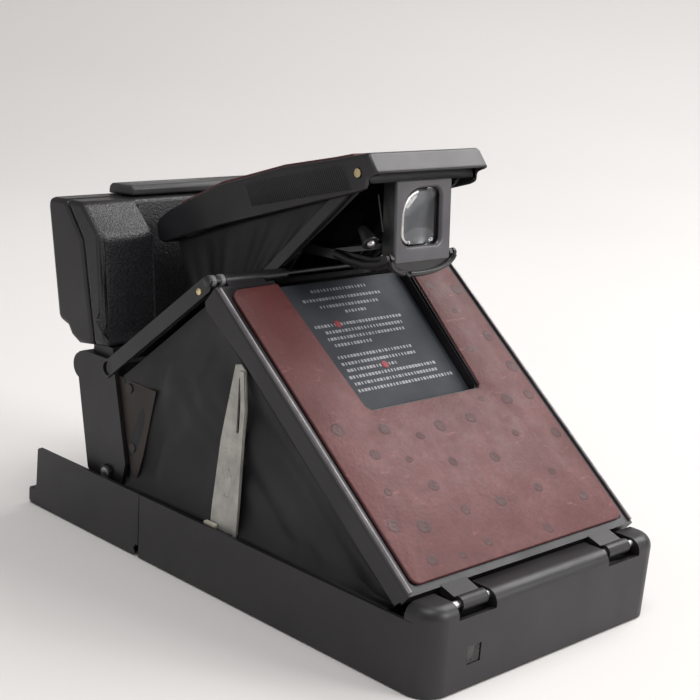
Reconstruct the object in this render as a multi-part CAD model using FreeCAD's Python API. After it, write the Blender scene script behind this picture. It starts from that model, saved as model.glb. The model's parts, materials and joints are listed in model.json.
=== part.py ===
"""Folding instant camera, erected.

Origin: middle of the base's underside.  +X: the side with the erecting link.
+Y: the rear, where the eye goes.  -Y: the front, with lens and film exit.
Side outlines are given as (y, z) points and extruded along X.
"""
import FreeCAD
import Part
import math
import os

V = FreeCAD.Vector

# ---------------------------------------------------------------- driving sizes
BASE_HALF_W = 51.0          # base half width at the top of the walls
BASE_FOOT_HALF_W = 50.3     # the walls lean in a little towards the foot
REAR_Y = 89.0
FRONT_Y = -88.4
SEAM_Y = -30.0              # the film door starts here
SEAM_GAP = 0.4
WALL_TOP = 20.3
REAR_TOP = 24.8
REAR_BLOCK_Y = 79.6
WALL_INNER = 49.8
FLOOR_TOP = 2.0

# pivots (y, z)
HINGE_A = (85.5, 23.2)      # mirror cover on the base
HINGE_B = (-6.0, 91.0)      # front plate on the mirror cover
PIVOT_C = (-50.5, 54.7)     # front plate on the front board, the open pivot
HINGE_D = (-51.5, 20.2)     # front board on the base
CAP_PIVOT = (23.9, 125.4)   # viewfinder cap on the carrier arms
LINK_PIVOT = (5.5, 12.0)    # erecting link on the base
DOOR_PIVOT = (-31.6, 2.2)

PIN_R = 1.1
RUN_FIT = 0.05              # radial clearance of a running fit

COVER_SLOPE = 38.0          # degrees above the horizontal
COVER_TOE = (79.4, 25.9)    # lower edge of the cover's top face
COVER_LEN = 104.2
COVER_HALF_W = 49.6
COVER_PLATE = 1.6
COVER_FLANGE = 6.0
PANEL_HALF_W = 46.4

CAP_SLOPE = 16.0
CAP_HALF_W = 23.5
HOUSE_HALF_W = 46.8
ARM_IN = 48.2               # inner and outer faces of the front plate's side arms
ARM_OUT = 49.5
LINK_IN = 47.1
LINK_OUT = 47.9

GEAR_COUNT = 7
GEAR_R = 7.9
GEAR_PITCH = 15.9
GEAR_Z = 10.4
FIRST_GEAR_Y = 70.1
ROLLER_Y = -36.5
ROLLER_R = 2.8
LOWER_ROLLER_Z = 5.6
UPPER_ROLLER_Z = 11.3


# ---------------------------------------------------------------- helpers
def box(x0, x1, y0, y1, z0, z1):
    return Part.makeBox(x1 - x0, y1 - y0, z1 - z0, V(x0, y0, z0))


def rod_x(y, z, r, x0, x1):
    return Part.makeCylinder(r, x1 - x0, V(x0, y, z), V(1, 0, 0))


def rod_z(x, y, r, z0, z1):
    return Part.makeCylinder(r, z1 - z0, V(x, y, z0), V(0, 0, 1))


def prism(points, x0, x1):
    """A (y, z) outline extruded along X."""
    wire = Part.makePolygon([V(x0, y, z) for y, z in points + points[:1]])
    return Part.Face(wire).extrude(V(x1 - x0, 0, 0))


def join(shapes):
    first = shapes[0]
    return first.fuse(shapes[1:]).removeSplitter() if len(shapes) > 1 else first


def cut(shape, tools):
    return shape.cut(Part.makeCompound(tools)) if tools else shape


def mirrored(shape):
    return shape.mirror(V(0, 0, 0), V(1, 0, 0))


def pair(shape):
    """The shape and its mirror image on the other side."""
    return Part.makeCompound([shape, mirrored(shape)])


def round_edges(shape, radius, wanted):
    edges = [e for e in shape.Edges if wanted(e)]
    return shape.makeFillet(radius, edges) if edges else shape


def slanted(slope, origin):
    """Map from (along, out) on a slope to (y, z); along runs up and forwards."""
    a = math.radians(slope)
    c, s = math.cos(a), math.sin(a)
    return lambda along, out: (origin[0] - along * c + out * s,
                               origin[1] + along * s + out * c)


def on_line(p, q):
    """Map from (along, out) to (y, z) on the line from p up to q."""
    dy, dz = q[0] - p[0], q[1] - p[1]
    size = math.hypot(dy, dz)
    uy, uz = dy / size, dz / size
    return lambda along, out: (p[0] + along * uy - out * uz,
                               p[1] + along * uz + out * uy)


COVER = slanted(COVER_SLOPE, COVER_TOE)
PLATE = on_line(PIVOT_C, HINGE_B)
PLATE_LEN = math.hypot(HINGE_B[0] - PIVOT_C[0], HINGE_B[1] - PIVOT_C[1])


def slab(frame, a0, a1, o0, o1, x0, x1):
    """A block in a slanted frame, from a0 to a1 along and o0 to o1 outwards."""
    return prism([frame(a0, o0), frame(a1, o0), frame(a1, o1), frame(a0, o1)], x0, x1)


PARTS = {}


def keep(name, shape):
    PARTS[name] = shape


# ---------------------------------------------------------------- base
def base_outer(y0, y1, top):
    """Base section, narrower at the foot, between two stations."""
    half = BASE_HALF_W
    foot = BASE_FOOT_HALF_W
    ring = [V(-foot, y0, 0), V(foot, y0, 0), V(half, y0, top), V(-half, y0, top), V(-foot, y0, 0)]
    return Part.Face(Part.makePolygon(ring)).extrude(V(0, y1 - y0, 0))


WINDOW = (29.8, 35.2, 6.8, 12.0)      # x0, x1, z0, z1 of the counter window
NOTCH_X = (25.0, 40.0)
KNUCKLE_X = (27.0, 37.0)
BUSH_XY = (18.0, 81.6)
SCREW_XY = [(-44.0, -24.0), (44.0, -24.0), (-30.0, 85.2), (44.0, 78.5)]


def make_base():
    body = base_outer(SEAM_Y, REAR_Y, WALL_TOP).fuse(base_outer(REAR_BLOCK_Y, REAR_Y, REAR_TOP))
    body = body.removeSplitter()
    body = round_edges(body, 7.5, lambda e: e.BoundBox.ZLength > 20 and e.BoundBox.Center.y > 88)
    body = round_edges(body, 3.6, lambda e: e.BoundBox.Center.z > REAR_TOP - 0.1
                       and e.BoundBox.YMax > REAR_Y - 6 and e.BoundBox.YLength < 9)
    inner = [box(-WALL_INNER, WALL_INNER, SEAM_Y - 1, REAR_BLOCK_Y - 1.6, FLOOR_TOP, 30),
             box(-47.4, 47.4, 70, 86.0, FLOOR_TOP, 18.6),
             box(-26.0, 26.0, SEAM_Y - 1, SEAM_Y + 1.2, -1, 5),
             box(-WALL_INNER, WALL_INNER, 70, REAR_BLOCK_Y - 0.1, 16.0, 30)]
    for sign in (1, -1):
        x0, x1 = sorted((sign * NOTCH_X[0], sign * NOTCH_X[1]))
        inner.append(box(x0, x1, 82.6, 92, 20.4, 27))
        inner.append(rod_x(85.5, 23.2, 3.6, x0, x1))
        inner.append(box(x0, x1, 76, 84, 18.0, 27))
    x0, x1, z0, z1 = WINDOW
    inner.append(box(x0, x1, 86, 92, z0, z1))
    inner.append(box(-47, 47, -27, 76, -1, 0.9))
    inner.append(rod_z(BUSH_XY[0], BUSH_XY[1], 3.9, -1, FLOOR_TOP + 1))
    inner += [rod_z(x, y, 1.6, -1, 1.0) for x, y in SCREW_XY[2:]]
    inner += [rod_z(x, y, 1.0, 0.5, FLOOR_TOP + 1) for x, y in SCREW_XY]
    inner.append(rod_x(HINGE_A[0], HINGE_A[1], PIN_R, -43, 43).cut(box(-22, 22, 80, 92, 18, 30)))
    body = cut(body, inner)
    tongue = prism([(-55, 4), (-55, 17.6), (-54, 18.2), (-49.6, 18.2), (-47.6, 13.2), (SEAM_Y + 8, 13.2),
                    (SEAM_Y + 8, 4)], 48.0, 49.4)
    eye = prism([(-54.2, 17.4), (-54.2, 21.4), (-52.8, 22.8), (-50.2, 22.8), (-49.0, 21.4), (-49.0, 17.4)],
                LINK_IN, 48.0)
    rib = box(49.3, WALL_INNER + 0.3, SEAM_Y + 1, SEAM_Y + 8, 4, 13.2)
    side = join([tongue, eye, rib])
    side = side.cut(rod_x(HINGE_D[0], HINGE_D[1], PIN_R, 40, 48.0))
    latch_slot = box(-53, -48, -23.2, -18.8, 9.2, 13.2)
    keep("board_lugs", pair(side.cut(body)).cut(latch_slot))
    lug = box(46.4, WALL_INNER + 0.3, LINK_PIVOT[0] - 5, LINK_PIVOT[0] + 5, 1.5, 5.2)
    keep("base_body", join([body, lug, make_link()]).cut(latch_slot))

    cover = box(-46.9, 46.9, -26.9, 75.9, 0, 0.9)
    cover = round_edges(cover, 4.0, lambda e: e.BoundBox.ZLength > 0.8)
    cover = cut(cover, [rod_z(x, y, 1.6, -1, 2) for x, y in SCREW_XY[:2]])
    keep("bottom_cover", cover)

    heads = []
    for x, y in SCREW_XY:
        head = rod_z(x, y, 1.6, 0.0, 0.9)
        shank = rod_z(x, y, 1.0, 0.9, 1.9)
        slot = box(x - 1.2, x + 1.2, y - 0.2, y + 0.2, -0.1, 0.45)
        heads.append(join([head, shank]).cut(slot))
    keep("base_screws", Part.makeCompound(heads))

    bush = rod_z(BUSH_XY[0], BUSH_XY[1], 3.9, 0.0, 10.0)
    keep("tripod_bush", bush.cut(rod_z(BUSH_XY[0], BUSH_XY[1], 2.6, -1, 8.5)))

    pin = rod_x(HINGE_A[0], HINGE_A[1], PIN_R, 22.0, 43.0)
    board_pin = join([rod_x(HINGE_D[0], HINGE_D[1], PIN_R, 45.0, 48.0),
                      rod_x(HINGE_D[0], HINGE_D[1], 1.9, 48.0, 48.14)])
    keep("base_hinge_pins", Part.makeCompound([pin, mirrored(pin), board_pin, mirrored(board_pin)]))

    keep("counter_window", box(x0, x1, 86.8, 88.7, z0, z1))
    keep("drive_motor", join([rod_x(82.0, GEAR_Z, 4.0, -27.0, 6.0), rod_x(82.0, GEAR_Z, 1.6, 6.0, 8.0)]))


def make_film_pack():
    pack = box(-44.5, 44.5, -28.5, 76.5, FLOOR_TOP + 0.2, 9.6)
    pack = round_edges(pack, 2.0, lambda e: e.BoundBox.ZLength > 5)
    pack = pack.cut(box(-38.5, 38.5, -20, 60, 8.2, 12))
    pack = pack.cut(box(-43, 43, -29, -24, 7.0, 8.0))
    keep("film_pack", pack)


CARRIER_PIVOT = (72.0, 12.2)


def make_mirror_carrier():
    plate = box(-43.0, 43.0, -20.0, 70.0, 11.2, 12.6)
    knuckle = rod_x(CARRIER_PIVOT[0], CARRIER_PIVOT[1], 1.6, -40, -30)
    web = box(-40, -30, 69.5, 72.0, 11.2, 12.8)
    body = join([plate, knuckle, web, mirrored(knuckle), mirrored(web)])
    body = body.cut(rod_x(CARRIER_PIVOT[0], CARRIER_PIVOT[1], 0.85, -50, 50))
    keep("mirror_carrier", body)
    keep("viewing_screen", box(-41.0, 41.0, -18.0, 68.0, 12.6, 13.6))
    pin = rod_x(CARRIER_PIVOT[0], CARRIER_PIVOT[1], 0.8, -44.0, 44.0)
    post = join([box(41.4, 43.6, 70.6, 81.4, 11.3, 14.0), box(41.4, 43.6, 79.8, 81.4, 11.3, 18.6)])
    return [join([pin, post, mirrored(post)])]


# ---------------------------------------------------------------- drive
def toothed(y, z, r, x0, x1, teeth, bore):
    """A spur gear drawn to its tip circle."""
    root = r - 0.7
    points = []
    for i in range(teeth):
        for share, radius in ((0.0, root), (0.3, root), (0.45, r), (0.85, r)):
            a = 2 * math.pi * (i + share) / teeth
            points.append((y + radius * math.cos(a), z + radius * math.sin(a)))
    gear = prism(points, x0, x1)
    return gear.cut(rod_x(y, z, bore, x0 - 1, x1 + 1))


def gear_y(index):
    return FIRST_GEAR_Y - GEAR_PITCH * index


GEAR_X = (-46.9, -45.9)


def make_drive():
    pinion = toothed(82.0, GEAR_Z, 3.9, GEAR_X[0], GEAR_X[1], 10, 0.8)
    shaft = rod_x(82.0, GEAR_Z, 0.8, GEAR_X[0], -27.1)
    keep("motor_pinion", join([pinion, shaft]))
    axles = []
    for i in range(GEAR_COUNT):
        y = gear_y(i)
        z = GEAR_Z
        gear = toothed(y, z, GEAR_R, GEAR_X[0], GEAR_X[1], 26, 1.05)
        keep("train_gear_%d" % (i + 1), gear)
        outer_end = -48.0 if y < SEAM_Y + 8 else -WALL_INNER
        axles.append(rod_x(y, z, 1.0, outer_end, -45.6))
    return axles


# ---------------------------------------------------------------- film door
DOOR_FRONT_CORNER = (-83.7, 19.4)


def make_door():
    rear = SEAM_Y - SEAM_GAP
    outline = [(rear, 1.9), (rear - 2.9, 0), (-87.6, 0), (-88.4, 0.8), (-88.4, 4.6), (-87.8, 5.4), (-86.6, 5.4),
               (-86.0, 4.8), (-84.4, 7.2), DOOR_FRONT_CORNER, (-82.9, 20.0), (rear, WALL_TOP)]
    outer = prism(outline, -BASE_HALF_W, BASE_HALF_W)
    outer = outer.common(base_outer(-95, rear, 24.0))
    hollow = [box(-WALL_INNER + 0.2, WALL_INNER - 0.2, -86.9, 0, 1.4, 30),
              box(-60, 60, -31.8, -30, -1, 3.6)]
    door = cut(outer, hollow)
    knuckle = rod_x(DOOR_PIVOT[0], DOOR_PIVOT[1], 2.0, -24, -10)
    web = box(-24, -10, -34.0, -31.6, 0.4, 2.6)
    door = join([door, knuckle, web, mirrored(knuckle), mirrored(web)])
    keep("film_door", door.cut(rod_x(DOOR_PIVOT[0], DOOR_PIVOT[1], 0.85, -60, 60)))


def make_rollers():
    lip = [(-41.5, 1.4), (-32.4, 1.4), (-32.4, 14.0), (-34.0, 16.4), (-39.5, 16.4), (-41.5, 14.6)]
    bracket = prism(lip, 44.2, 45.8)
    for z in (LOWER_ROLLER_Z, UPPER_ROLLER_Z):
        bracket = bracket.cut(rod_x(ROLLER_Y, z, 1.3, 40, 50))
    crossbar = join([box(-44.2, 44.2, -41.5, -40.3, 13.4, 16.0), box(-44.2, 44.2, -41.5, -37.6, 15.2, 16.0)])
    keep("roller_frame", join([bracket, mirrored(bracket), crossbar]))
    for name, z in (("lower_roller", LOWER_ROLLER_Z), ("upper_roller", UPPER_ROLLER_Z)):
        roller = join([rod_x(ROLLER_Y, z, ROLLER_R, -43.6, 43.6),
                       rod_x(ROLLER_Y, z, 1.25, -45.8, 45.8)])
        if name == "lower_roller":
            roller = join([roller, toothed(ROLLER_Y, z, 4.2, GEAR_X[0], GEAR_X[1], 14, 1.2),
                           rod_x(ROLLER_Y, z, 1.25, GEAR_X[0], -43.0)])
        keep(name, roller)


# ---------------------------------------------------------------- mirror cover
RECESS_FOOT = 55.0
RECESS_HALF_FOOT = 24.3
RECESS_HALF_TOP = 27.5
RECESS_DEPTH = 3.5
COVER_TOP = COVER_LEN


def recess_prism(half_foot, half_top, start, out0, out1, corner):
    """The tongue shaped recess in the cover's top, seen square to the slope."""
    def at(x, along, out):
        y, z = COVER(along, out)
        return V(x, y, z)
    ring = [at(-half_foot + corner, start, out0), at(half_foot - corner, start, out0),
            at(half_foot, start + corner, out0), at(half_top, COVER_TOP + 1, out0),
            at(-half_top, COVER_TOP + 1, out0), at(-half_foot, start + corner, out0)]
    ring.append(ring[0])
    up = at(0, 0, out1) - at(0, 0, out0)
    return Part.Face(Part.makePolygon(ring)).extrude(up)


def make_cover():
    top = slab(COVER, 0, COVER_TOP, -COVER_PLATE, 0, -COVER_HALF_W, COVER_HALF_W)
    flange_points = [COVER(0, 0), COVER(1.2, -COVER_FLANGE), COVER(82, -COVER_FLANGE),
                     COVER(COVER_TOP - 2, -7.8), COVER(COVER_TOP, -6.5), COVER(COVER_TOP, 0)]
    flange = prism(flange_points, ARM_IN, COVER_HALF_W)
    toe = slab(COVER, 0, 1.6, -3.4, 0, -COVER_HALF_W, COVER_HALF_W)
    tray = recess_prism(RECESS_HALF_FOOT + 1.2, RECESS_HALF_TOP + 1.2, RECESS_FOOT - 1.2,
                        -RECESS_DEPTH - 1.0, -0.2, 2.4)
    tray = tray.common(slab(COVER, 0, COVER_TOP, -10, 5, -60, 60))
    shell = join([top, flange, mirrored(flange), toe, tray])
    shell = round_edges(shell, 0.9, lambda e: e.BoundBox.YLength > 60
                        and abs(abs(e.BoundBox.Center.x) - COVER_HALF_W) < 0.1
                        and lies_on_top(e))
    shell = shell.cut(recess_prism(RECESS_HALF_FOOT, RECESS_HALF_TOP, RECESS_FOOT,
                                   -RECESS_DEPTH, 3, 2.4))
    # the leather sits in a shallow pocket
    pocket = panel_outline(PANEL_HALF_W, 2.3, COVER_TOP - 1.2, -0.35, 2.0)
    shell = shell.cut(pocket)
    arm = on_line(HINGE_A, COVER(2.5, -1.8))
    arm_len = math.hypot(HINGE_A[0] - COVER(2.5, -1.8)[0], HINGE_A[1] - COVER(2.5, -1.8)[1])
    web = slab(arm, 0, arm_len, -1.0, 1.0, KNUCKLE_X[0], KNUCKLE_X[1])
    knuckle = join([rod_x(HINGE_A[0], HINGE_A[1], 2.1, KNUCKLE_X[0], KNUCKLE_X[1]), web])
    barrel = rod_x(HINGE_B[0], HINGE_B[1], 1.5, 30.0, 44.0)
    web_b = prism([COVER(COVER_TOP - 3, -1.6), COVER(COVER_TOP - 3, -0.4), (HINGE_B[0] + 0.2, HINGE_B[1] + 1.1),
                   (HINGE_B[0] - 0.4, HINGE_B[1] - 1.1)], 30.0, 44.0)
    knuckle_b = join([barrel, web_b])
    shell = join([shell, knuckle, mirrored(knuckle), knuckle_b, mirrored(knuckle_b)])
    bores = [rod_x(HINGE_A[0], HINGE_A[1], PIN_R + RUN_FIT, -60, 60),
             rod_x(HINGE_B[0], HINGE_B[1], 0.7, -60, 60)]
    keep("mirror_cover", cut(shell, bores))

    leather = panel_outline(PANEL_HALF_W - 0.2, 2.5, COVER_TOP - 1.4, -0.35, 0.55)
    leather = leather.cut(recess_prism(RECESS_HALF_FOOT + 1.4, RECESS_HALF_TOP + 1.4,
                                       RECESS_FOOT - 1.6, -3, 3, 2.4))
    keep("leather_panel", leather)

    label = recess_prism(RECESS_HALF_FOOT - 0.3, RECESS_HALF_TOP - 0.3, RECESS_FOOT + 0.3,
                         -RECESS_DEPTH, -RECESS_DEPTH + 0.35, 2.3)
    keep("label_plate", label.common(slab(COVER, 0, COVER_TOP - 0.5, -10, 5, -60, 60)))

    mirror = slab(COVER, 8, 52, -2.4, -1.6, -44, 44)
    keep("taking_mirror", mirror)
    keep("cover_hinge_pin", rod_x(HINGE_B[0], HINGE_B[1], 0.7, -ARM_OUT, ARM_OUT))


def lies_on_top(edge):
    """True for the cover's long outer edges in the plane of its top face."""
    c = edge.BoundBox.Center
    along = (COVER_TOE[0] - c.y) * math.cos(math.radians(COVER_SLOPE))
    along += (c.z - COVER_TOE[1]) * math.sin(math.radians(COVER_SLOPE))
    y, z = COVER(along, 0)
    return math.hypot(c.y - y, c.z - z) < 0.2


def panel_outline(half, a0, a1, o0, o1):
    body = slab(COVER, a0, a1, o0, o1, -half, half)
    normal = V(0, math.sin(math.radians(COVER_SLOPE)), math.cos(math.radians(COVER_SLOPE)))

    def corner(edge):
        d = edge.Vertexes[1].Point - edge.Vertexes[0].Point
        return abs(abs(d.dot(normal)) - d.Length) < 1e-4
    return round_edges(body, 2.0, corner)


# ---------------------------------------------------------------- front plate
PLATE_START = 9.5           # the plate stops short of its front pivot; only the arms reach it


def make_front_plate():
    plate = slab(PLATE, PLATE_START, PLATE_LEN - 4.0, -1.4, 0.2, -45.0, 45.0)
    window = slab(PLATE, 13, 40, -3, 3, -17, 17)
    plate = plate.cut(window)
    arm = [PLATE(-2.2, -2.4), PLATE(-3.0, 0), PLATE(-2.2, 2.4), PLATE(PLATE_LEN - 1, 2.0),
           PLATE(PLATE_LEN + 1.3, 1.2), PLATE(PLATE_LEN + 1.6, -0.8), PLATE(PLATE_LEN - 1, -2.6)]
    arm_body = prism(arm, ARM_IN, ARM_OUT)
    bridge = arm_bridge()
    knuckle = join([rod_x(HINGE_B[0], HINGE_B[1], 1.5, 20.0, 29.8),
                    slab(PLATE, PLATE_LEN - 5, PLATE_LEN, -1.4, -0.2, 20.0, 29.8)])
    carrier = make_carrier_arm()
    body = join([plate, arm_body, mirrored(arm_body), bridge, mirrored(bridge), knuckle,
                 mirrored(knuckle), carrier, mirrored(carrier)])
    bores = [rod_x(HINGE_B[0], HINGE_B[1], 0.75, -60, 60),
             pair(rod_x(PIVOT_C[0], PIVOT_C[1], 2.2, ARM_IN - 1, ARM_OUT + 1))]
    keep("front_plate", cut(body, bores))


def arm_bridge():
    """Joins the plate's rear corner to the side arm."""
    return slab(PLATE, PLATE_LEN - 7.0, PLATE_LEN - 4.0, -1.4, 0.2, 44.8, ARM_IN + 0.2)


def make_carrier_arm():
    """One of the two arms that run on from the plate and carry the viewfinder cap."""
    frame = on_line((-11.0, 90.6), CAP_PIVOT)
    size = math.hypot(CAP_PIVOT[0] + 11.0, CAP_PIVOT[1] - 90.6)
    outline = [frame(-3, -1.6), frame(-3, 1.6), frame(size - 4, 1.6), frame(size + 0.9, 1.7),
               frame(size + 1.7, 0), frame(size + 0.9, -1.7), frame(size - 4, -1.6)]
    arm = prism(outline, 20.6, 22.0)
    foot_frame = PLATE
    foot = slab(foot_frame, PLATE_LEN - 18, PLATE_LEN - 7, 0.2, 5.2, 20.6, 22.0)
    arm = join([arm, foot])
    arm = arm.cut(rod_x(CAP_PIVOT[0], CAP_PIVOT[1], 1.05, 10, 30))
    return arm


# ---------------------------------------------------------------- viewfinder cap
CAP_FRONT = 91.5            # along the cap, from its pivot to the front end


def falling(slope, origin):
    """Map from (along, out) on a slope to (y, z); along runs down and forwards."""
    a = math.radians(slope)
    c, s = math.cos(a), math.sin(a)
    return lambda along, out: (origin[0] - along * c - out * s,
                               origin[1] - along * s + out * c)


CAP = falling(CAP_SLOPE, CAP_PIVOT)


def make_cap():
    # outline in (along, out) from the pivot; the top is gently crowned
    top = [(-4.6, 5.0), (8, 5.0), (30, 5.6), (60, 4.0), (84, -0.8), (90.0, -3.2)]
    under = [(CAP_FRONT, -5.0), (CAP_FRONT, -9.4), (89, -10.8), (60, -8.2), (0, -5.2), (-2.4, -4.6),
             (-3.4, -2.0), (-7.4, -1.2)]
    outer = prism([CAP(a, o) for a, o in top + under], -CAP_HALF_W, CAP_HALF_W)
    inner_top = [(-2.6, 3.4), (8, 3.8), (30, 4.3), (60, 2.7), (84, -2.2), (88.6, -4.2)]
    inner_under = [(90.0, -6.0), (90.0, -14), (-2.6, -14)]
    inner = prism([CAP(a, o) for a, o in inner_top + inner_under], -CAP_HALF_W + 1.1, CAP_HALF_W - 1.1)
    shell = outer.cut(inner)
    shell = round_edges(shell, 1.2, lambda e: abs(abs(e.BoundBox.Center.x) - CAP_HALF_W) < 0.05
                        and e.BoundBox.YLength > 12 and cap_out(e) > -3)
    pocket = slab(CAP, -9.0, 0, -14, -0.9, -CAP_HALF_W + 1.2, CAP_HALF_W - 1.2)
    roof_relief = slab(CAP, 10, 27, 3, 4.6, -12.6, 12.6)
    shell = cut(shell, [pocket, roof_relief, rod_x(CAP_PIVOT[0], CAP_PIVOT[1], 1.05, -40, 40)])
    keep("viewfinder_cap", shell)

    lid = [(3, 0.0), (10, 0.0), (31, 0.6), (60, -0.9), (80, -4.8)]
    low = [CAP(a, o + 5.0) for a, o in lid]
    high = [CAP(a, o + 5.7) for a, o in reversed(lid)]
    leather = prism(low + high, -CAP_HALF_W + 2.0, CAP_HALF_W - 2.0)
    keep("cap_leather", leather.cut(outer))

    pin = join([rod_x(CAP_PIVOT[0], CAP_PIVOT[1], 1.0, 19.6, CAP_HALF_W - 0.1),
                rod_x(CAP_PIVOT[0], CAP_PIVOT[1], 1.25, CAP_HALF_W, CAP_HALF_W + 0.3),
                rod_x(CAP_PIVOT[0], CAP_PIVOT[1], 1.0, CAP_HALF_W - 0.2, CAP_HALF_W + 0.1)])
    keep("cap_pivot_pins", pair(pin))
    keep("concave_mirror", slab(CAP, 64, 84, -3.6, -2.4, -10, 10).cut(
        Part.makeSphere(60, V(0, CAP(74, -62.9)[0], CAP(74, -62.9)[1]))))


def cap_out(edge):
    c = edge.BoundBox.Center
    a = math.radians(CAP_SLOPE)
    return (CAP_PIVOT[0] - c.y) * math.sin(a) + (c.z - CAP_PIVOT[1]) * math.cos(a)


# ---------------------------------------------------------------- eyepiece
EYE_TOP = (26.6, 123.1)
EYE_KNOB = (28.4, 101.2)     # hinge of the eyepiece on its yoke
YOKE_PIVOT = (-7.6, 97.6)    # hinge of the yoke on the carrier arms
EYE = on_line(EYE_KNOB, EYE_TOP)
EYE_LEN = math.hypot(EYE_TOP[0] - EYE_KNOB[0], EYE_TOP[1] - EYE_KNOB[1])
EYE_WINDOW = (-6.8, 9.4)     # the window stands to one side of the frame


def make_eyepiece():
    frame = slab(EYE, 1.6, EYE_LEN, -1.4, 1.4, -11.6, 11.6)
    frame = frame.cut(slab(EYE, 4.2, EYE_LEN - 2.6, -5, 5, *EYE_WINDOW))
    tube = slab(EYE, 3.4, EYE_LEN - 1.8, 1.4, 3.4, -9.8, 9.8).cut(
        slab(EYE, 4.2, EYE_LEN - 2.6, -5, 5, *EYE_WINDOW))
    lug = join([rod_x(EYE_KNOB[0], EYE_KNOB[1], 1.5, 8.4, 11.4), slab(EYE, 0, 3, -1.3, 1.3, 8.4, 11.4)])
    body = join([frame, tube, lug, mirrored(lug)])
    keep("eyepiece_frame", body.cut(rod_x(EYE_KNOB[0], EYE_KNOB[1], 0.75, -20, 20)))
    lens = slab(EYE, 4.3, EYE_LEN - 2.7, 0.4, 2.8, EYE_WINDOW[0] + 0.1, EYE_WINDOW[1] - 0.1)
    keep("eyepiece_lens", lens)
    knob = join([rod_x(EYE_KNOB[0], EYE_KNOB[1], 0.7, 7.0, 13.8),
                 rod_x(EYE_KNOB[0], EYE_KNOB[1], 1.3, 13.8, 14.8)])

    yoke_frame = on_line(YOKE_PIVOT, EYE_KNOB)
    size = math.hypot(EYE_KNOB[0] - YOKE_PIVOT[0], EYE_KNOB[1] - YOKE_PIVOT[1])
    bar = [yoke_frame(-1.6, -1.2), yoke_frame(-1.6, 1.4), yoke_frame(6, 1.5), yoke_frame(size - 6, -0.2),
           yoke_frame(size + 0.6, 1.4), yoke_frame(size + 1.5, 0), yoke_frame(size + 0.4, -1.5),
           yoke_frame(size - 6, -2.8), yoke_frame(6, -1.4)]
    side = prism(bar, 11.9, 13.1)
    cross = slab(yoke_frame, size - 28.4, size - 25.2, -1.0, 0.6, -12.2, 12.2)
    yoke = join([side, mirrored(side), cross]).cut(rod_x(YOKE_PIVOT[0], YOKE_PIVOT[1], 0.75, -20, 20))
    keep("eyepiece_yoke", join([yoke, knob, mirrored(knob)]))
    foot = join([slab(PLATE, PLATE_LEN - 12, PLATE_LEN - 5.0, 0.2, 3.0, 13.4, 14.6),
                 prism([PLATE(PLATE_LEN - 10, 2), PLATE(PLATE_LEN - 5.0, 2),
                        (YOKE_PIVOT[0] + 1.4, YOKE_PIVOT[1] - 1),
                        (YOKE_PIVOT[0] + 0.8, YOKE_PIVOT[1] + 1.4),
                        (YOKE_PIVOT[0] - 1.4, YOKE_PIVOT[1] + 1)], 13.4, 14.6)])
    foot = join([foot, rod_x(YOKE_PIVOT[0], YOKE_PIVOT[1], 0.7, 11.6, 14.9)])
    keep("yoke_brackets", pair(foot))


def make_boot():
    """Rubber boot between the front plate and the cap; it folds flat."""
    outline = [PLATE(10, 0.9), PLATE(PLATE_LEN - 22, 0.9), PLATE(PLATE_LEN - 17, 6.4),
               CAP(12, -6.4), CAP(60, -9.6), CAP(86, -12.2)]
    outer = prism(outline, -19.8, 19.8)
    grown = [PLATE(8, -3.0), PLATE(PLATE_LEN - 12, -3.0), PLATE(PLATE_LEN - 9, 6.4),
             CAP(4, -4.0), CAP(60, -5.0), CAP(84.5, -8.0)]
    keep("viewfinder_boot", outer.cut(prism(grown, -18.9, 18.9)))


# ---------------------------------------------------------------- front board
NOSE = (-67.4, 51.2)
NOSE_R = 4.3
BOARD = on_line(HINGE_D, (HINGE_D[0] - 34.0 * math.sin(math.radians(8.6)),
                          HINGE_D[1] + 34.0 * math.cos(math.radians(8.6))))


def cheek_profile():
    """Side outline of the shutter housing's two side cheeks."""
    return [(-44.4, 17.6), (-60.8, 17.6), (-62.0, 19.2), (-69.0, 48.4), (-69.0, 55.4), (-66.4, 56.4),
            (-53.2, 56.4), (-50.4, 53.2), (-43.0, 25.6)]


def house_profile(s):
    """Outline between the cheeks, drawn in by s; its back leaves room for the folded front plate."""
    return [(-53.6 - s, 17.6 + s), (-60.8 + s, 17.6 + s), (-62.0 + s, 19.2 + s), (-69.0 + s, 48.4),
            (-69.0 + s, 55.4 - s), (-66.4, 56.4 - s), (-54.4 - s, 56.4 - s), (-52.9 - s, 54.6 - s)]


CHEEK_IN = 45.4


def make_housing():
    outer = prism(house_profile(0), -HOUSE_HALF_W, HOUSE_HALF_W)
    nose = rod_x(NOSE[0], NOSE[1], NOSE_R, -HOUSE_HALF_W, HOUSE_HALF_W)
    cheek = prism(cheek_profile(), CHEEK_IN, HOUSE_HALF_W)
    outer = join([outer, nose, cheek, mirrored(cheek)])
    inner = prism(house_profile(1.5), -CHEEK_IN + 0.2, CHEEK_IN - 0.2)
    shell = outer.cut(inner)
    parting = prism([(-30, 10), (-56.4, 10), (-57.2, 60), (-30, 60)], -60, 60)
    bore_d = rod_x(HINGE_D[0], HINGE_D[1], PIN_R + RUN_FIT, -60, 60)
    window = prism([(-40, 26), (-60, 26), (-60, 50), (-40, 50)], -14, 14)
    front_part = shell.cut(parting)
    rear = cut(shell.common(parting), [bore_d, window])
    rear = rear.fuse(make_neck().cut(front_part)).removeSplitter()
    front = cut(front_part, [rod_along_board(LENS_ALONG, 5.0, 35.0, 0, 13.2), wheel_hole(),
                                     dial_hole(), button_hole(), cell_hole()])
    keep("housing_front_shell", front)
    keep("housing_rear_shell", rear)


def front_axis():
    """Lens axis: square to the leaning board, pointing forwards."""
    a = math.radians(8.6)
    return V(0, -math.cos(a), -math.sin(a))


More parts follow.
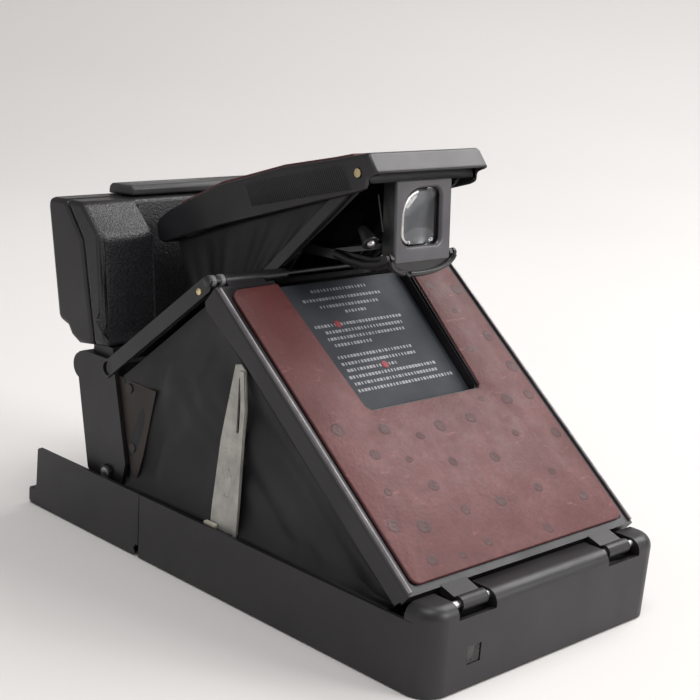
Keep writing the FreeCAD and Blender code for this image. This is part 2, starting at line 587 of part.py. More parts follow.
def front_point(x, along, out):
    """A point on the board: along it from the hinge, and out towards the front."""
    y, z = BOARD(along, out)
    return V(x, y, z)


def rod_along_board(along, out0, out1, x, r):
    return Part.makeCylinder(r, out1 - out0, front_point(x, along, out0), front_axis())


def wheel_hole():
    return Part.makeCylinder(8.4, 20, front_point(30, 26, 8), front_axis())


def dial_hole():
    return Part.makeCylinder(5.6, 20, front_point(-30, 27, 8), front_axis())


def button_hole():
    return Part.makeCylinder(4.4, 20, front_point(30, 8.5, 8), front_axis())


def cell_hole():
    return Part.makeCylinder(4.2, 20, front_point(-30, 13, 8), front_axis())


LENS_ALONG = 20.0


def make_lens():
    barrel = rod_along_board(LENS_ALONG, 6.0, 14.5, 0, 13.1)
    barrel = barrel.cut(rod_along_board(LENS_ALONG, 5.0, 16.0, 0, 8.0))
    ring = rod_along_board(LENS_ALONG, 14.5, 15.6, 0, 11.0).cut(
        rod_along_board(LENS_ALONG, 12.0, 16.5, 0, 8.0))
    keep("lens_barrel", join([barrel, ring]))
    glass = rod_along_board(LENS_ALONG, 10.6, 13.6, 0, 7.95)
    rear_glass = rod_along_board(LENS_ALONG, 6.4, 8.0, 0, 7.95)
    keep("lens_glass", Part.makeCompound([glass, rear_glass]))
    blade = slab(BOARD, LENS_ALONG - 8, LENS_ALONG + 8, 5.3, 5.7, -8.0, 5.4)
    keep("shutter_blade_left", blade.cut(rod_along_board(LENS_ALONG, 5.0, 6.0, 4.0, 5.0)))
    blade2 = slab(BOARD, LENS_ALONG - 8, LENS_ALONG + 8, 4.5, 4.9, -5.4, 8.0)
    keep("shutter_blade_right", blade2.cut(rod_along_board(LENS_ALONG, 4.0, 5.2, -4.0, 5.0)))
    keep("circuit_board", slab(BOARD, 5, 32, 3.4, 4.2, -43, 43).cut(
        slab(BOARD, 9, 31, 0, 6, -13, 13)))


def make_controls():
    wheel = Part.makeCylinder(8.1, 3.4, front_point(30, 26, 8.6), front_axis())
    keep("focus_wheel", wheel)
    dial = Part.makeCylinder(5.3, 5.6, front_point(-30, 27, 9.4), front_axis())
    keep("exposure_dial", dial)
    stem = Part.makeCylinder(2.0, 3.0, front_point(30, 8.5, 6.6), front_axis())
    head = Part.makeCylinder(4.1, 4.4, front_point(30, 8.5, 9.6), front_axis())
    keep("shutter_button", join([head, stem]))
    keep("photocell_window", Part.makeCylinder(4.2, 2.2, front_point(-30, 13, 10.6), front_axis()))


# ---------------------------------------------------------------- upper unit
UPPER_HALF_W = 47.0
UPPER_SIDE = [(-88.5, 99.8), (-88.9, 97.6), (-81.4, 63.8), (-75.6, 62.3), (-73.4, 59.6), (-69.4, 57.9), (-54.0, 60.2),
              (-56.0, 63.4), (-59.8, 92.8), (-70.6, 102.6), (-86.2, 101.7), (-87.7, 101.0)]
UPPER_SEAM = [(-40, 59.0), (-61.2, 59.0), (-61.9, 62.0), (-69.2, 91.0), (-79.0, 102.3), (-79.0, 110),
              (-40, 110)]
CENTRE_REAR = [(-67.0, 50.0), (-62.0, 64.0), (-70.6, 101.0), (-70.6, 110), (-30, 110), (-30, 50)]
CENTRE_HALF_W = 26.0


def make_upper_unit():
    outer = prism(UPPER_SIDE, -UPPER_HALF_W, UPPER_HALF_W)
    outer = round_edges(outer, 2.8, lambda e: e.BoundBox.XLength < 0.1
                        and e.BoundBox.DiagonalLength > 25)
    outer = outer.cut(prism(CENTRE_REAR, -CENTRE_HALF_W, CENTRE_HALF_W))
    inner_side = [(-86.6, 97.0), (-80.4, 65.8), (-74.4, 63.8), (-72.2, 61.0), (-69.6, 59.8), (-57.6, 61.8),
                  (-61.6, 92.0), (-71.2, 100.6), (-85.8, 99.8)]
    inner = prism(inner_side, -UPPER_HALF_W + 1.8, UPPER_HALF_W - 1.8)
    centre_inner = [(-67.0, 50.0), (-64.0, 64.0), (-72.6, 101.0), (-72.6, 110), (-30, 110), (-30, 50)]
    inner = inner.cut(prism(centre_inner, -CENTRE_HALF_W - 1.8, CENTRE_HALF_W + 1.8))
    shell = outer.cut(inner)
    seam = prism(UPPER_SEAM, -60, 60)
    front = shell.cut(seam)
    rear = shell.common(seam)
    disc_hole = Part.makeCylinder(18.2, 20, upper_point(20, 0), upper_axis())
    front = front.cut(disc_hole)
    keep("upper_front_shell", front)
    keep("upper_rear_shell", rear)
    disc = Part.makeCylinder(18.0, 1.4, upper_point(20, 3.0), upper_axis())
    keep("sonar_disc", disc)
    ring = Part.makeCylinder(18.1, 1.2, upper_point(20, 4.6), upper_axis())
    holes = []
    for r, count in ((0, 1), (5, 8), (10, 14), (14.6, 20)):
        for i in range(count):
            a = 2 * math.pi * i / count
            p = upper_point(20 + r * math.cos(a), 3.0)
            p = p + upper_up() * (r * math.sin(a))
            holes.append(Part.makeCylinder(1.5, 6, p, upper_axis()))
    keep("sonar_grille", ring.cut(Part.makeCompound(holes)))


def upper_up():
    d = V(0, -88.9 + 81.4, 97.6 - 63.8)
    return d.normalize()


def upper_axis():
    d = upper_up()
    return V(0, -d.z, d.y)


def upper_point(x, out):
    """Middle of the upper unit's front face, moved out from 5 mm behind it."""
    base = V(x, -85.1, 80.7)
    return base + upper_axis() * (out - 5.0)


def make_flash_socket():
    body = prism([(-86.4, 101.9), (-86.0, 104.6), (-84.8, 105.4), (-74.4, 106.2), (-73.4, 105.2),
                  (-73.6, 103.0)], -44.0, 25.0)
    body = body.cut(box(-40, 21, -84, -76, 104.2, 108))
    keep("flash_socket", body.cut(prism(UPPER_SIDE, -60, 60)))


def make_neck():
    """The board's spine, joining the shutter housing to the upper unit."""
    spine = prism([(-64.0, 56.0), (-53.6, 56.0), (-54.4, 59.6), (-64.0, 59.4)],
                  -HOUSE_HALF_W + 2, HOUSE_HALF_W - 2)
    spine = spine.cut(prism(UPPER_SIDE, -60, 60))
    return spine


# ---------------------------------------------------------------- link, strip, bellows
def make_link():
    body = [(1.4, 7.6), (9.6, 7.6), (10.6, 12.0), (11.0, 26.0), (11.2, 47.6), (11.6, 57.2), (10.2, 68.8),
            (8.4, 70.2), (6.0, 69.6), (1.6, 46.0), (-0.4, 25.4), (-0.6, 22.0), (0.2, 12.0)]
    plate = prism(body, LINK_IN, LINK_OUT)
    slot = prism([(8.0, 50.0), (9.2, 50.0), (8.8, 66.0), (7.8, 66.0)], 40, 50)
    plate = plate.cut(slot)
    plate = plate.cut(rod_x(LINK_PIVOT[0], LINK_PIVOT[1], 1.65, 40, 60))
    keep("erecting_link", plate)
    rivet = join([rod_x(LINK_PIVOT[0], LINK_PIVOT[1], 1.6, 46.2, LINK_OUT + 0.3),
                  rod_x(LINK_PIVOT[0], LINK_PIVOT[1], 2.4, LINK_OUT + 0.1, LINK_OUT + 0.3)])
    post = box(46.4, 46.95, LINK_PIVOT[0] - 4, LINK_PIVOT[0] + 4, 5.0, 16.0)
    return join([post, rivet])


def make_flex_strip():
    outline = [(-49.9, 52.0), (-31.4, 51.6), (-36.0, 30.0), (-38.4, 22.0), (-40.6, 22.0), (-42.7, 26.6)]
    rivets = [rod_x(y, z, 1.5, 45.4, 46.0) for y, z in ((-43.9, 49.4), (-41.2, 31.2))]
    keep("flex_circuit", join([prism(outline, 45.2, 45.5)] + rivets))


BELLOWS_HALF_W = 45.0


def make_bellows():
    """Rubber bellows between base, cover and front board, as a hollow skin."""
    outer = [(-42.0, 19.4), (72.0, 19.4), COVER(12, -3.4), COVER(98, -3.4), (-11, 82.5), (-47.4, 53.0)]
    inner = [(-40.8, 18.0), (69.2, 18.0), COVER(14, -4.6), COVER(96.6, -4.6), (-11, 81.0), (-46.0, 52.6)]
    skin = prism(outer, -BELLOWS_HALF_W, BELLOWS_HALF_W)
    skin = skin.cut(prism(inner, -BELLOWS_HALF_W + 1, BELLOWS_HALF_W - 1))
    tray_room = slab(COVER, RECESS_FOOT - 4, 112, -RECESS_DEPTH - 1.8, 4, -30, 30)
    keep("bellows", skin.cut(tray_room))


# ---------------------------------------------------------------- small movers on the base
def make_latch():
    keep("door_latch", join([box(-51.9, -51.2, -25.0, -17.0, 9.0, 15.0),
                             box(-51.2, -49.4, -23.0, -19.0, 11.0, 13.0)]))


def make_counter():
    drum = rod_x(82.0, 9.4, 4.2, 30.4, 34.6)
    keep("counter_wheel", drum.cut(rod_x(82.0, 9.4, 0.85, 20, 40)))
    return [join([rod_x(82.0, 9.4, 0.8, 28.6, 36.4), box(28.2, 29.2, 80.6, 83.4, FLOOR_TOP, 11.0)])]


def build_all():
    make_base()
    make_film_pack()
    make_door()
    make_rollers()
    make_cover()
    make_front_plate()
    make_cap()
    make_eyepiece()
    make_boot()
    make_housing()
    make_lens()
    make_controls()
    make_upper_unit()
    make_flash_socket()
    make_flex_strip()
    make_bellows()
    make_latch()
    keep("fixed_axles", Part.makeCompound(make_counter() + make_mirror_carrier() + make_drive()))


build_all()
os.makedirs("parts", exist_ok=True)
for name, shape in PARTS.items():
    shape.exportStep(os.path.join("parts", name + ".step"))
    print("%-22s solids %d  valid %s  volume %9.1f" % (name, len(shape.Solids), shape.isValid(), shape.Volume))
print(len(PARTS), "nodes")
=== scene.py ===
# %% [markdown]
# # A folding instant camera, standing open
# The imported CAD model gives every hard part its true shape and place. This script keeps those
# parts, gives each one a finish, and makes by hand what a CAD solid shows poorly: the rubber
# bellows and boot, the leather, the printed plate, the eyepiece glass, the pressed-metal link
# and the small repeated things such as ribs, rivets, dashes and quill marks.

# %% Load the frame
import json
import math

import bmesh
import bpy
from mathutils import Matrix, Vector

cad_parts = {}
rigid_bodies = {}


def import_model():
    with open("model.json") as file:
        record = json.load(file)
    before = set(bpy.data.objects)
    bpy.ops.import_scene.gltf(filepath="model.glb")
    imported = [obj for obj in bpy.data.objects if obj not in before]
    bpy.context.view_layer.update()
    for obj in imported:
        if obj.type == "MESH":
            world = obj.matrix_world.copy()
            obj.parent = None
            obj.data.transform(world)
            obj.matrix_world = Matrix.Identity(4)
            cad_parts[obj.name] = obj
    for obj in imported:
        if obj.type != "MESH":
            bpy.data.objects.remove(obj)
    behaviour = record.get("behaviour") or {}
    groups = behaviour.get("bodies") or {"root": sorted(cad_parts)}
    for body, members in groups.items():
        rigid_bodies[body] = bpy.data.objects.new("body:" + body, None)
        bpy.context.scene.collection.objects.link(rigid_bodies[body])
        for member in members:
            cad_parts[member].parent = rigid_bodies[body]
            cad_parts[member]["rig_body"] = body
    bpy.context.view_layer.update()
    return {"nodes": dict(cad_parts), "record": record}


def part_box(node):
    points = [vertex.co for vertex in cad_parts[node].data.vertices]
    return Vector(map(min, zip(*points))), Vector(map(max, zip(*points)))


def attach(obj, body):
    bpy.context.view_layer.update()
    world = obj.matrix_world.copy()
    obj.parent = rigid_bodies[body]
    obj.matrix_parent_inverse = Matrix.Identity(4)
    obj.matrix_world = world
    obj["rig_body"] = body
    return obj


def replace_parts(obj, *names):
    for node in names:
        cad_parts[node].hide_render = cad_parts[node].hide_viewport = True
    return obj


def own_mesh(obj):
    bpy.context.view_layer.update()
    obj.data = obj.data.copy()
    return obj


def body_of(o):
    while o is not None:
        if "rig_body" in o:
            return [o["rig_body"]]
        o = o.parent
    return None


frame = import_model()
MM = 0.001


# %% [markdown]
# ## Slopes as maps
# Most parts of this camera lie on a slope: the mirror cover, the front plate, the cap and the
# eyepiece. A small map from (x, along, out) to a point lets each piece be drawn flat, in
# millimetres, and then laid on its slope. The mesh keeps the place, so objects stay at the origin.

# %% Slope maps
def slope_map(y, z, degrees, forwards=True):
    """Map from (x, along, out) in mm to a point. Along runs forwards and turns up by degrees."""
    a = math.radians(degrees)
    side = -1 if forwards else 1
    direction = Vector((0, side * math.cos(a), math.sin(a)))
    normal = Vector((0, -side * math.sin(a), math.cos(a)))
    origin = Vector((0, y, z))
    return lambda x, along, out: (origin + along * direction + out * normal + Vector((x, 0, 0))) * MM


def line_map(start, end):
    """Map along the line from one (y, z) point to another; out is to the upper side."""
    angle = math.degrees(math.atan2(end[1] - start[1], end[0] - start[0]))
    return slope_map(start[0], start[1], angle, forwards=False)


COVER_SLOPE = 38.0
CAP_SLOPE = 16.0


def centre_of(node):
    """The (y, z) centre of a CAD node in mm."""
    low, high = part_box(node)
    return tuple((low[i] + high[i]) / 2 / MM for i in (1, 2))


HINGE_B = centre_of("cover_hinge_pin")
PIVOT_C = (-50.5, 54.7)
CAP_PIVOT = centre_of("cap_pivot_pins")
EYE_TOP = (26.6, 123.1)
EYE_KNOB = (28.4, 101.2)
on_cover = slope_map(79.4, 25.9, COVER_SLOPE)
on_cap = slope_map(CAP_PIVOT[0], CAP_PIVOT[1], -CAP_SLOPE)
on_plate = line_map(PIVOT_C, HINGE_B)
on_eye = line_map(EYE_KNOB, EYE_TOP)
EYE_LEN = math.dist(EYE_KNOB, EYE_TOP)


def straight(x, y, z):
    return Vector((x, y, z)) * MM


print("cover hinge at", HINGE_B, "cap pivot at", CAP_PIVOT)


# %% [markdown]
# ## Finishes
# Every finish is a node tree on the Principled shader. Object coordinates give the patterns their
# scale in metres, so a grain of 0.3 mm stays 0.3 mm on every part. The class below keeps the trees
# short: its methods add a texture, a ramp or a bump, and link it where it belongs.

# %% Node helpers
class Finish:
    """A material with short ways to add textures to its Principled shader."""

    def __init__(self, name, rough, metal=0.0, specular=0.5):
        self.material = bpy.data.materials.new(name)
        self.material.use_nodes = True
        self.nodes = self.material.node_tree.nodes
        self.links = self.material.node_tree.links
        self.shader = self.nodes["Principled BSDF"]
        self.shader.inputs["Roughness"].default_value = rough
        self.shader.inputs["Metallic"].default_value = metal
        self.shader.inputs["Specular IOR Level"].default_value = specular
        self.coordinates = self.nodes.new("ShaderNodeTexCoord").outputs["Object"]
        self.height = None

    def stretched(self, x, y, z):
        """Object coordinates scaled by x, y and z, for patterns longer one way."""
        mapping = self.nodes.new("ShaderNodeMapping")
        mapping.inputs["Scale"].default_value = (x, y, z)
        self.links.new(self.coordinates, mapping.inputs["Vector"])
        return mapping.outputs["Vector"]

    def noise(self, grain_mm, detail=4.0, vector=None):
        node = self.nodes.new("ShaderNodeTexNoise")
        node.inputs["Scale"].default_value = 1.0 / (grain_mm * MM)
        node.inputs["Detail"].default_value = detail
        self.links.new(vector or self.coordinates, node.inputs["Vector"])
        return node.outputs["Fac"]

    def cells(self, grain_mm, feature="F1", vector=None):
        node = self.nodes.new("ShaderNodeTexVoronoi")
        node.feature = feature
        node.inputs["Scale"].default_value = 1.0 / (grain_mm * MM)
        self.links.new(vector or self.coordinates, node.inputs["Vector"])
        return node.outputs["Distance"]

    def ramp(self, value, stops):
        """Turns a value into a colour by (place, colour) stops."""
        node = self.nodes.new("ShaderNodeValToRGB")
        elements = node.color_ramp.elements
        while len(elements) < len(stops):
            elements.new(0.5)
        for element, (place, colour) in zip(elements, stops):
            element.position = place
            element.color = (*colour, 1.0)
        self.links.new(value, node.inputs["Fac"])
        return node.outputs["Color"]

    def mix(self, amount, a, b, how="MIX"):
        node = self.nodes.new("ShaderNodeMix")
        node.data_type = "RGBA"
        node.blend_type = how
        for socket, value in ((node.inputs[0], amount), (node.inputs[6], a), (node.inputs[7], b)):
            if isinstance(value, bpy.types.NodeSocket):
                self.links.new(value, socket)
            else:
                socket.default_value = value
        return node.outputs[2]

    def span(self, value, low, high, start=0.0, end=1.0):
        """Rescales a value from start..end to low..high."""
        node = self.nodes.new("ShaderNodeMapRange")
        for name, number in (("From Min", start), ("From Max", end), ("To Min", low), ("To Max", high)):
            node.inputs[name].default_value = number
        self.links.new(value, node.inputs["Value"])
        return node.outputs["Result"]

    def colour(self, socket):
        self.links.new(socket, self.shader.inputs["Base Color"])

    def roughness(self, socket):
        self.links.new(socket, self.shader.inputs["Roughness"])

    def facing_rear(self, start, end):
        """0 on faces that look sideways or forwards, 1 on those that look to the rear."""
        split = self.nodes.new("ShaderNodeSeparateXYZ")
        self.links.new(self.nodes["Texture Coordinate"].outputs["Normal"], split.inputs["Vector"])
        return self.span(split.outputs["Y"], 0.0, 1.0, start, end)

    def bump(self, value, depth_mm, strength=1.0):
        node = self.nodes.new("ShaderNodeBump")
        node.inputs["Distance"].default_value = depth_mm * MM
        node.inputs["Strength"].default_value = strength
        self.links.new(value, node.inputs["Height"])
        if self.height is not None:
            self.links.new(self.height, node.inputs["Normal"])
        self.height = node.outputs["Normal"]
        self.links.new(self.height, self.shader.inputs["Normal"])


# %% [markdown]
# ## Moulded plastic
# The body is charcoal plastic with a faint spark-eroded grain. Handling leaves it slightly
# polished in patches, so a slow noise moves the roughness, and a fine one makes the grain. The
# pebble on the upper unit is only on the faces that look to the rear, and those faces also get
# lighter pebble tops, a painted highlight. The cap's rear lip gets a painted sheen, a lighter
# colour on the same faces, so both finishes mix two looks by the direction of the face.

# %% Plastic, painted metal and rubber
def moulded(name, dark, light, rough, grain_mm=0.5, depth_mm=0.03, metal=0.0):
    finish = Finish(name, rough, metal)
    finish.colour(finish.ramp(finish.noise(14.0), [(0.3, dark), (0.7, light)]))
    finish.roughness(finish.span(finish.noise(22.0, 6.0), rough - 0.07, rough + 0.09, 0.3, 0.7))
    finish.bump(finish.noise(grain_mm, 2.0), depth_mm, 0.6)
    return finish


def speckled(name, dark, light, rough):
    """A shell that is pebbled on its rear faces: small bumps there, whose lighter tops are painted
    highlights.
    """
    finish = Finish(name, rough)
    pebbled = finish.facing_rear(0.30, 0.55)
    pebbles = finish.noise(0.55, 2.0)
    # The lighter spot colour on the rear faces is a painted highlight on the pebbles.
    painted_pebble_highlights = finish.ramp(pebbles, [(0.38, dark), (0.66, light)])
    finish.colour(finish.mix(pebbled, (*dark, 1.0), painted_pebble_highlights))
    finish.roughness(finish.span(finish.noise(0.8), rough - 0.12, rough + 0.10, 0.35, 0.65))
    height = finish.nodes.new("ShaderNodeMath")
    height.operation = "MULTIPLY"
    finish.links.new(pebbles, height.inputs[0])
    finish.links.new(pebbled, height.inputs[1])
    finish.bump(height.outputs[0], 0.26, 0.9)
    finish.bump(finish.noise(0.3, 2.0), 0.02, 0.5)
    return finish


shell_black = moulded("satin_black_shell", (0.0085, 0.0075, 0.0095), (0.014, 0.0125, 0.0145), 0.40)
# The light colour here is the painted highlight on the pebbles of the rear faces.
pebble_black = speckled("pebbled_black_shell", (0.008, 0.0075, 0.009), (0.030, 0.028, 0.033), 0.40)
metal_black = moulded("painted_black_metal", (0.008, 0.008, 0.009), (0.014, 0.014, 0.015), 0.33, 0.3, 0.012)
lip_black = moulded("cap_with_painted_lip_sheen", (0.010, 0.009, 0.011), (0.016, 0.0145, 0.017), 0.36)
# The third cap tone is a painted sheen: the cap's rear-facing lip is coloured lighter, as if lit.
CAP_TONES = (0.010, 0.009, 0.011), (0.016, 0.0145, 0.017), (0.034, 0.031, 0.036)
cap_dark = lip_black.ramp(lip_black.noise(14.0), [(0.3, CAP_TONES[0]), (0.7, CAP_TONES[1])])
painted_lip_sheen = lip_black.ramp(lip_black.noise(9.0, 5.0), [(0.3, CAP_TONES[1]), (0.7, CAP_TONES[2])])
lip_black.colour(lip_black.mix(lip_black.facing_rear(0.30, 0.50), cap_dark, painted_lip_sheen))
rubber_black = moulded("matt_black_rubber", (0.0065, 0.006, 0.0075), (0.012, 0.011, 0.013), 0.58, 1.1, 0.05)
grey_plastic = moulded("grey_plastic", (0.035, 0.034, 0.036), (0.055, 0.053, 0.056), 0.42)
grey_sleeve = moulded("light_grey_sleeve", (0.12, 0.12, 0.13), (0.19, 0.19, 0.20), 0.40)
white_plastic = moulded("cream_plastic", (0.46, 0.43, 0.36), (0.56, 0.53, 0.45), 0.42)
print("plastics ready")


# %% [markdown]
# ## Metals and glass
# The link is tumbled sheet metal: light, matt, with fine scratches and darker pits. Pins and rivets
# are brass. Polished parts use a low roughness that smudges slightly. The beads on the cover's
# edges are a lighter metal that stands in for the highlight along its black rounded edges: a
# painted highlight.

# %% Metals, glass and film
def worn_metal(name, dark, light, rough, scratch_mm=0.25):
    finish = Finish(name, rough, 1.0)
    finish.colour(finish.ramp(finish.noise(5.0, 6.0), [(0.3, dark), (0.65, light)]))
    scratches = finish.noise(scratch_mm, 3.0, finish.stretched(1.0, 1.0, 0.12))
    finish.roughness(finish.span(scratches, rough - 0.08, rough + 0.12, 0.35, 0.65))
    finish.bump(scratches, 0.02, 0.5)
    return finish


link_metal = worn_metal("matt_grey_link", (0.47, 0.46, 0.42), (0.66, 0.65, 0.60), 0.50)
link_metal.shader.inputs["Metallic"].default_value = 0.35
pits = link_metal.span(link_metal.noise(1.0, 5.0), 0.0, 0.55, 0.64, 0.72)
LINK_TONES = [(0.3, (0.33, 0.325, 0.30)), (0.65, (0.47, 0.46, 0.425))]
tumbled = link_metal.ramp(link_metal.noise(5.0, 6.0), LINK_TONES)
link_metal.colour(link_metal.mix(pits, tumbled, (0.16, 0.15, 0.13, 1.0)))
brass = worn_metal("brass_pin", (0.50, 0.39, 0.20), (0.72, 0.60, 0.36), 0.30)
steel = worn_metal("satin_steel", (0.42, 0.42, 0.43), (0.60, 0.60, 0.61), 0.34)
# This bright metal only makes the painted glint on the eyepiece lens.
glint_metal = worn_metal("painted_lens_glint", (0.44, 0.43, 0.43), (0.60, 0.59, 0.58), 0.30)
edge_highlight_metal = worn_metal("painted_edge_highlight", (0.16, 0.15, 0.16), (0.30, 0.28, 0.29), 0.36)
bezel_metal = moulded("bezel_grey", (0.075, 0.073, 0.080), (0.105, 0.102, 0.110), 0.34, 0.4, 0.01, 0.35)
mirror_glass = worn_metal("mirror_surface", (0.80, 0.82, 0.85), (0.86, 0.88, 0.90), 0.09, 2.0)
film_brown = moulded("brown_flex_film", (0.010, 0.006, 0.005), (0.022, 0.012, 0.009), 0.50, 2.0, 0.04)


def clear(name, tint, rough):
    finish = Finish(name, rough)
    finish.shader.inputs["Transmission Weight"].default_value = 1.0
    finish.shader.inputs["IOR"].default_value = 1.49
    brighter = tuple(min(1, c * 1.03) for c in tint)
    finish.colour(finish.ramp(finish.noise(20.0), [(0.3, tint), (0.7, brighter)]))
    finish.roughness(finish.span(finish.noise(6.0, 5.0), rough, rough + 0.05, 0.4, 0.7))
    return finish


lens_grey = moulded("lens_backing", (0.10, 0.10, 0.11), (0.17, 0.17, 0.18), 0.30, 3.0, 0.02)
lens_clear = clear("clear_lens", (0.90, 0.92, 0.94), 0.01)
window_clear = clear("smoked_window", (0.30, 0.31, 0.33), 0.06)
print("metals and glass ready")


# %% [markdown]
# ## Leather
# The covering is red-brown leather with soft pores, darker and redder near the hinge and paler
# towards the foot, with small scuffs. The colour runs with a slow noise plus a slope along the
# cover, and the pores are a fine bump. The quill rings are real geometry, made further down.

# %% Leather finish
def leather(name, deep, middle, pale, slope=True):
    finish = Finish(name, 0.47)
    patches = finish.ramp(finish.noise(13.0, 6.0), [(0.15, deep), (0.50, middle), (0.95, pale)])
    if slope:
        split = finish.nodes.new("ShaderNodeSeparateXYZ")
        finish.links.new(finish.coordinates, split.inputs["Vector"])
        height = finish.span(split.outputs["Z"], 0.0, 0.75, 55 * MM, 88 * MM)
        patches = finish.mix(height, patches, (*deep, 1.0))
    fine = finish.span(finish.noise(1.6, 5.0), 0.0, 0.55, 0.42, 0.70)
    colour = finish.mix(fine, patches, (*[c * 0.62 for c in middle], 1.0))
    scuffs = finish.noise(3.0, 7.0, finish.stretched(0.5, 1.4, 1.4))
    colour = finish.mix(finish.span(scuffs, 0.0, 0.5, 0.64, 0.74), colour, (*[c * 1.5 for c in pale], 1.0))
    finish.colour(colour)
    finish.roughness(finish.span(finish.noise(5.0, 6.0), 0.50, 0.60, 0.3, 0.7))
    wrinkles = finish.noise(2.2, 5.0, finish.stretched(1.0, 0.45, 0.45))
    finish.bump(wrinkles, 0.16, 0.6)
    finish.bump(finish.cells(1.1, "F1"), 0.12, 0.6)
    finish.bump(finish.noise(0.45, 3.0), 0.07, 0.8)
    return finish


red_leather = leather("quill_leather", (0.078, 0.015, 0.014), (0.128, 0.038, 0.039), (0.190, 0.075, 0.078))
quill_mark = leather("quill_marks", (0.046, 0.010, 0.010), (0.074, 0.021, 0.022), (0.115, 0.043, 0.045))
print("leather ready")


# %% [markdown]
# ## Printed plate
# The plate in the recess is a dark blue-grey sheet with pale print. Its own lines are left as
# generic dashes and two red dots.

# %% Plate finishes
plate_grey = moulded("blue_grey_plate", (0.026, 0.029, 0.036), (0.042, 0.046, 0.055), 0.62, 0.4, 0.01)
plate_grey.shader.inputs["Specular IOR Level"].default_value = 0.25
print_pale = moulded("pale_print", (0.22, 0.23, 0.25), (0.31, 0.32, 0.34), 0.5)
board_green = moulded("circuit_green", (0.012, 0.060, 0.030), (0.022, 0.090, 0.045), 0.4)
grille_grey = moulded("perforated_grey", (0.075, 0.075, 0.08), (0.10, 0.10, 0.105), 0.4, 0.4, 0.02, 0.6)
print_red = moulded("red_print", (0.20, 0.006, 0.016), (0.27, 0.010, 0.022), 0.55)


# %% [markdown]
# ## Dressing the CAD parts
# Each carried-over node gets the finish of its record slot. A few nodes look better with another
# one, such as the cover's hinge pin, which is painted black like the parts around it.

# %% Give every node its finish
slot_finish = {
    "black_shell": shell_black, "black_pebble": pebble_black, "black_metal": metal_black,
    "brown_leather": red_leather, "label_grey": plate_grey, "mirror_glass": mirror_glass,
    "clear_glass": window_clear, "steel": steel, "link_metal": link_metal, "brass": brass,
    "rubber": rubber_black, "grey_plastic": grey_plastic, "white_plastic": white_plastic,
    "flex_film": film_brown, "circuit_green": board_green, "grille_metal": grille_grey,
}
node_slot = {part["node"]: part["material_slot"] for part in frame["record"]["subparts"]}
better_finish = {"cover_hinge_pin": metal_black, "concave_mirror": metal_black,
                 "fixed_axles": metal_black, "viewfinder_cap": lip_black}
node_finish = {}
for node, thing in frame["nodes"].items():
    finish = better_finish.get(node, slot_finish[node_slot[node]])
    thing.data.materials.clear()
    thing.data.materials.append(finish.material)
    node_finish[node] = finish


# %% [markdown]
# ## Making a piece
# A finished piece needs the same few steps each time: merged points, outward faces, a material,
# smooth shading where faces meet gently and a body to ride on.

# %% Piece helper
def piece(name, mesh_or_bm, finish, body, smooth=40.0, outward=True):
    if isinstance(mesh_or_bm, bmesh.types.BMesh):
        bmesh.ops.remove_doubles(mesh_or_bm, verts=mesh_or_bm.verts, dist=1e-6)
        if outward:
            bmesh.ops.recalc_face_normals(mesh_or_bm, faces=mesh_or_bm.faces)
        mesh = bpy.data.meshes.new(name)
        mesh_or_bm.to_mesh(mesh)
        mesh_or_bm.free()
    else:
        mesh = mesh_or_bm
    mesh.materials.clear()
    mesh.materials.append(finish.material)
    mesh.shade_smooth()
    mesh.set_sharp_from_angle(angle=math.radians(smooth))
    thing = bpy.data.objects.new(name, mesh)
    bpy.context.scene.collection.objects.link(thing)
    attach(thing, body)
    return thing


def soften(thing, width_mm, segments=3, clamp=True):
    """Rounds a piece's sharp edges with a live Bevel modifier."""
    bevel = thing.modifiers.new("soft_edges", "BEVEL")
    bevel.width = width_mm * MM
    bevel.segments = segments
    bevel.limit_method = "ANGLE"
    bevel.angle_limit = math.radians(40)
    bevel.use_clamp_overlap = clamp
    return thing


def rounded_copy(node, width_mm, clamp=True, body=None):
    """A merged copy of a CAD part with soft edges, shown in its place."""
    part = frame["nodes"][node]
    bm = bmesh.new()
    bm.from_mesh(part.data)
    bmesh.ops.remove_doubles(bm, verts=bm.verts, dist=0.002 * MM)
    bmesh.ops.dissolve_limit(bm, angle_limit=math.radians(1.0), verts=bm.verts, edges=bm.edges)
    copy = piece(node + "_soft", bm, node_finish[node], body or body_of(part)[0],
                 smooth=25, outward=False)
    soften(copy, width_mm, clamp=clamp)
    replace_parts(copy, node)
    return copy


def rounded(points, radii, steps=6):
    """A closed outline whose corners are arcs of the given radii."""
    result = []
    count = len(points)
    for i, (corner, radius) in enumerate(zip(points, radii)):
        corner = Vector(corner)
        before = (Vector(points[i - 1]) - corner).normalized()
        after = (Vector(points[(i + 1) % count]) - corner).normalized()
        if radius <= 0:
            result.append(corner)
            continue
        half = before.angle(after) / 2
        reach = radius / math.tan(half)
        centre = corner + (before + after).normalized() * (radius / math.sin(half))
        start = corner + before * reach - centre
        end = corner + after * reach - centre
        turn = start.angle_signed(end)
        for k in range(steps + 1):
            a = -turn * k / steps
            result.append(centre + Vector((start.x * math.cos(a) - start.y * math.sin(a),
                                           start.x * math.sin(a) + start.y * math.cos(a))))
    return result


def slab_mesh(outline, lay, low, high):
    """A flat plate of any outline in (x, along), laid by a map, from out low to out high."""
    bm = bmesh.new()
    bottom = [bm.verts.new(lay(p[0], p[1], low)) for p in outline]
    top = [bm.verts.new(lay(p[0], p[1], high)) for p in outline]
    bm.faces.new(bottom)
    bm.faces.new(top)
    for i in range(len(outline)):
        j = (i + 1) % len(outline)
        bm.faces.new((bottom[i], bottom[j], top[j], top[i]))
    return bm


def side_map(x):
    """Map for a plate that stands in the y-z plane: (y, z, out) with out away from the middle."""
    return lambda y, z, out: Vector((x + out, y, z)) * MM
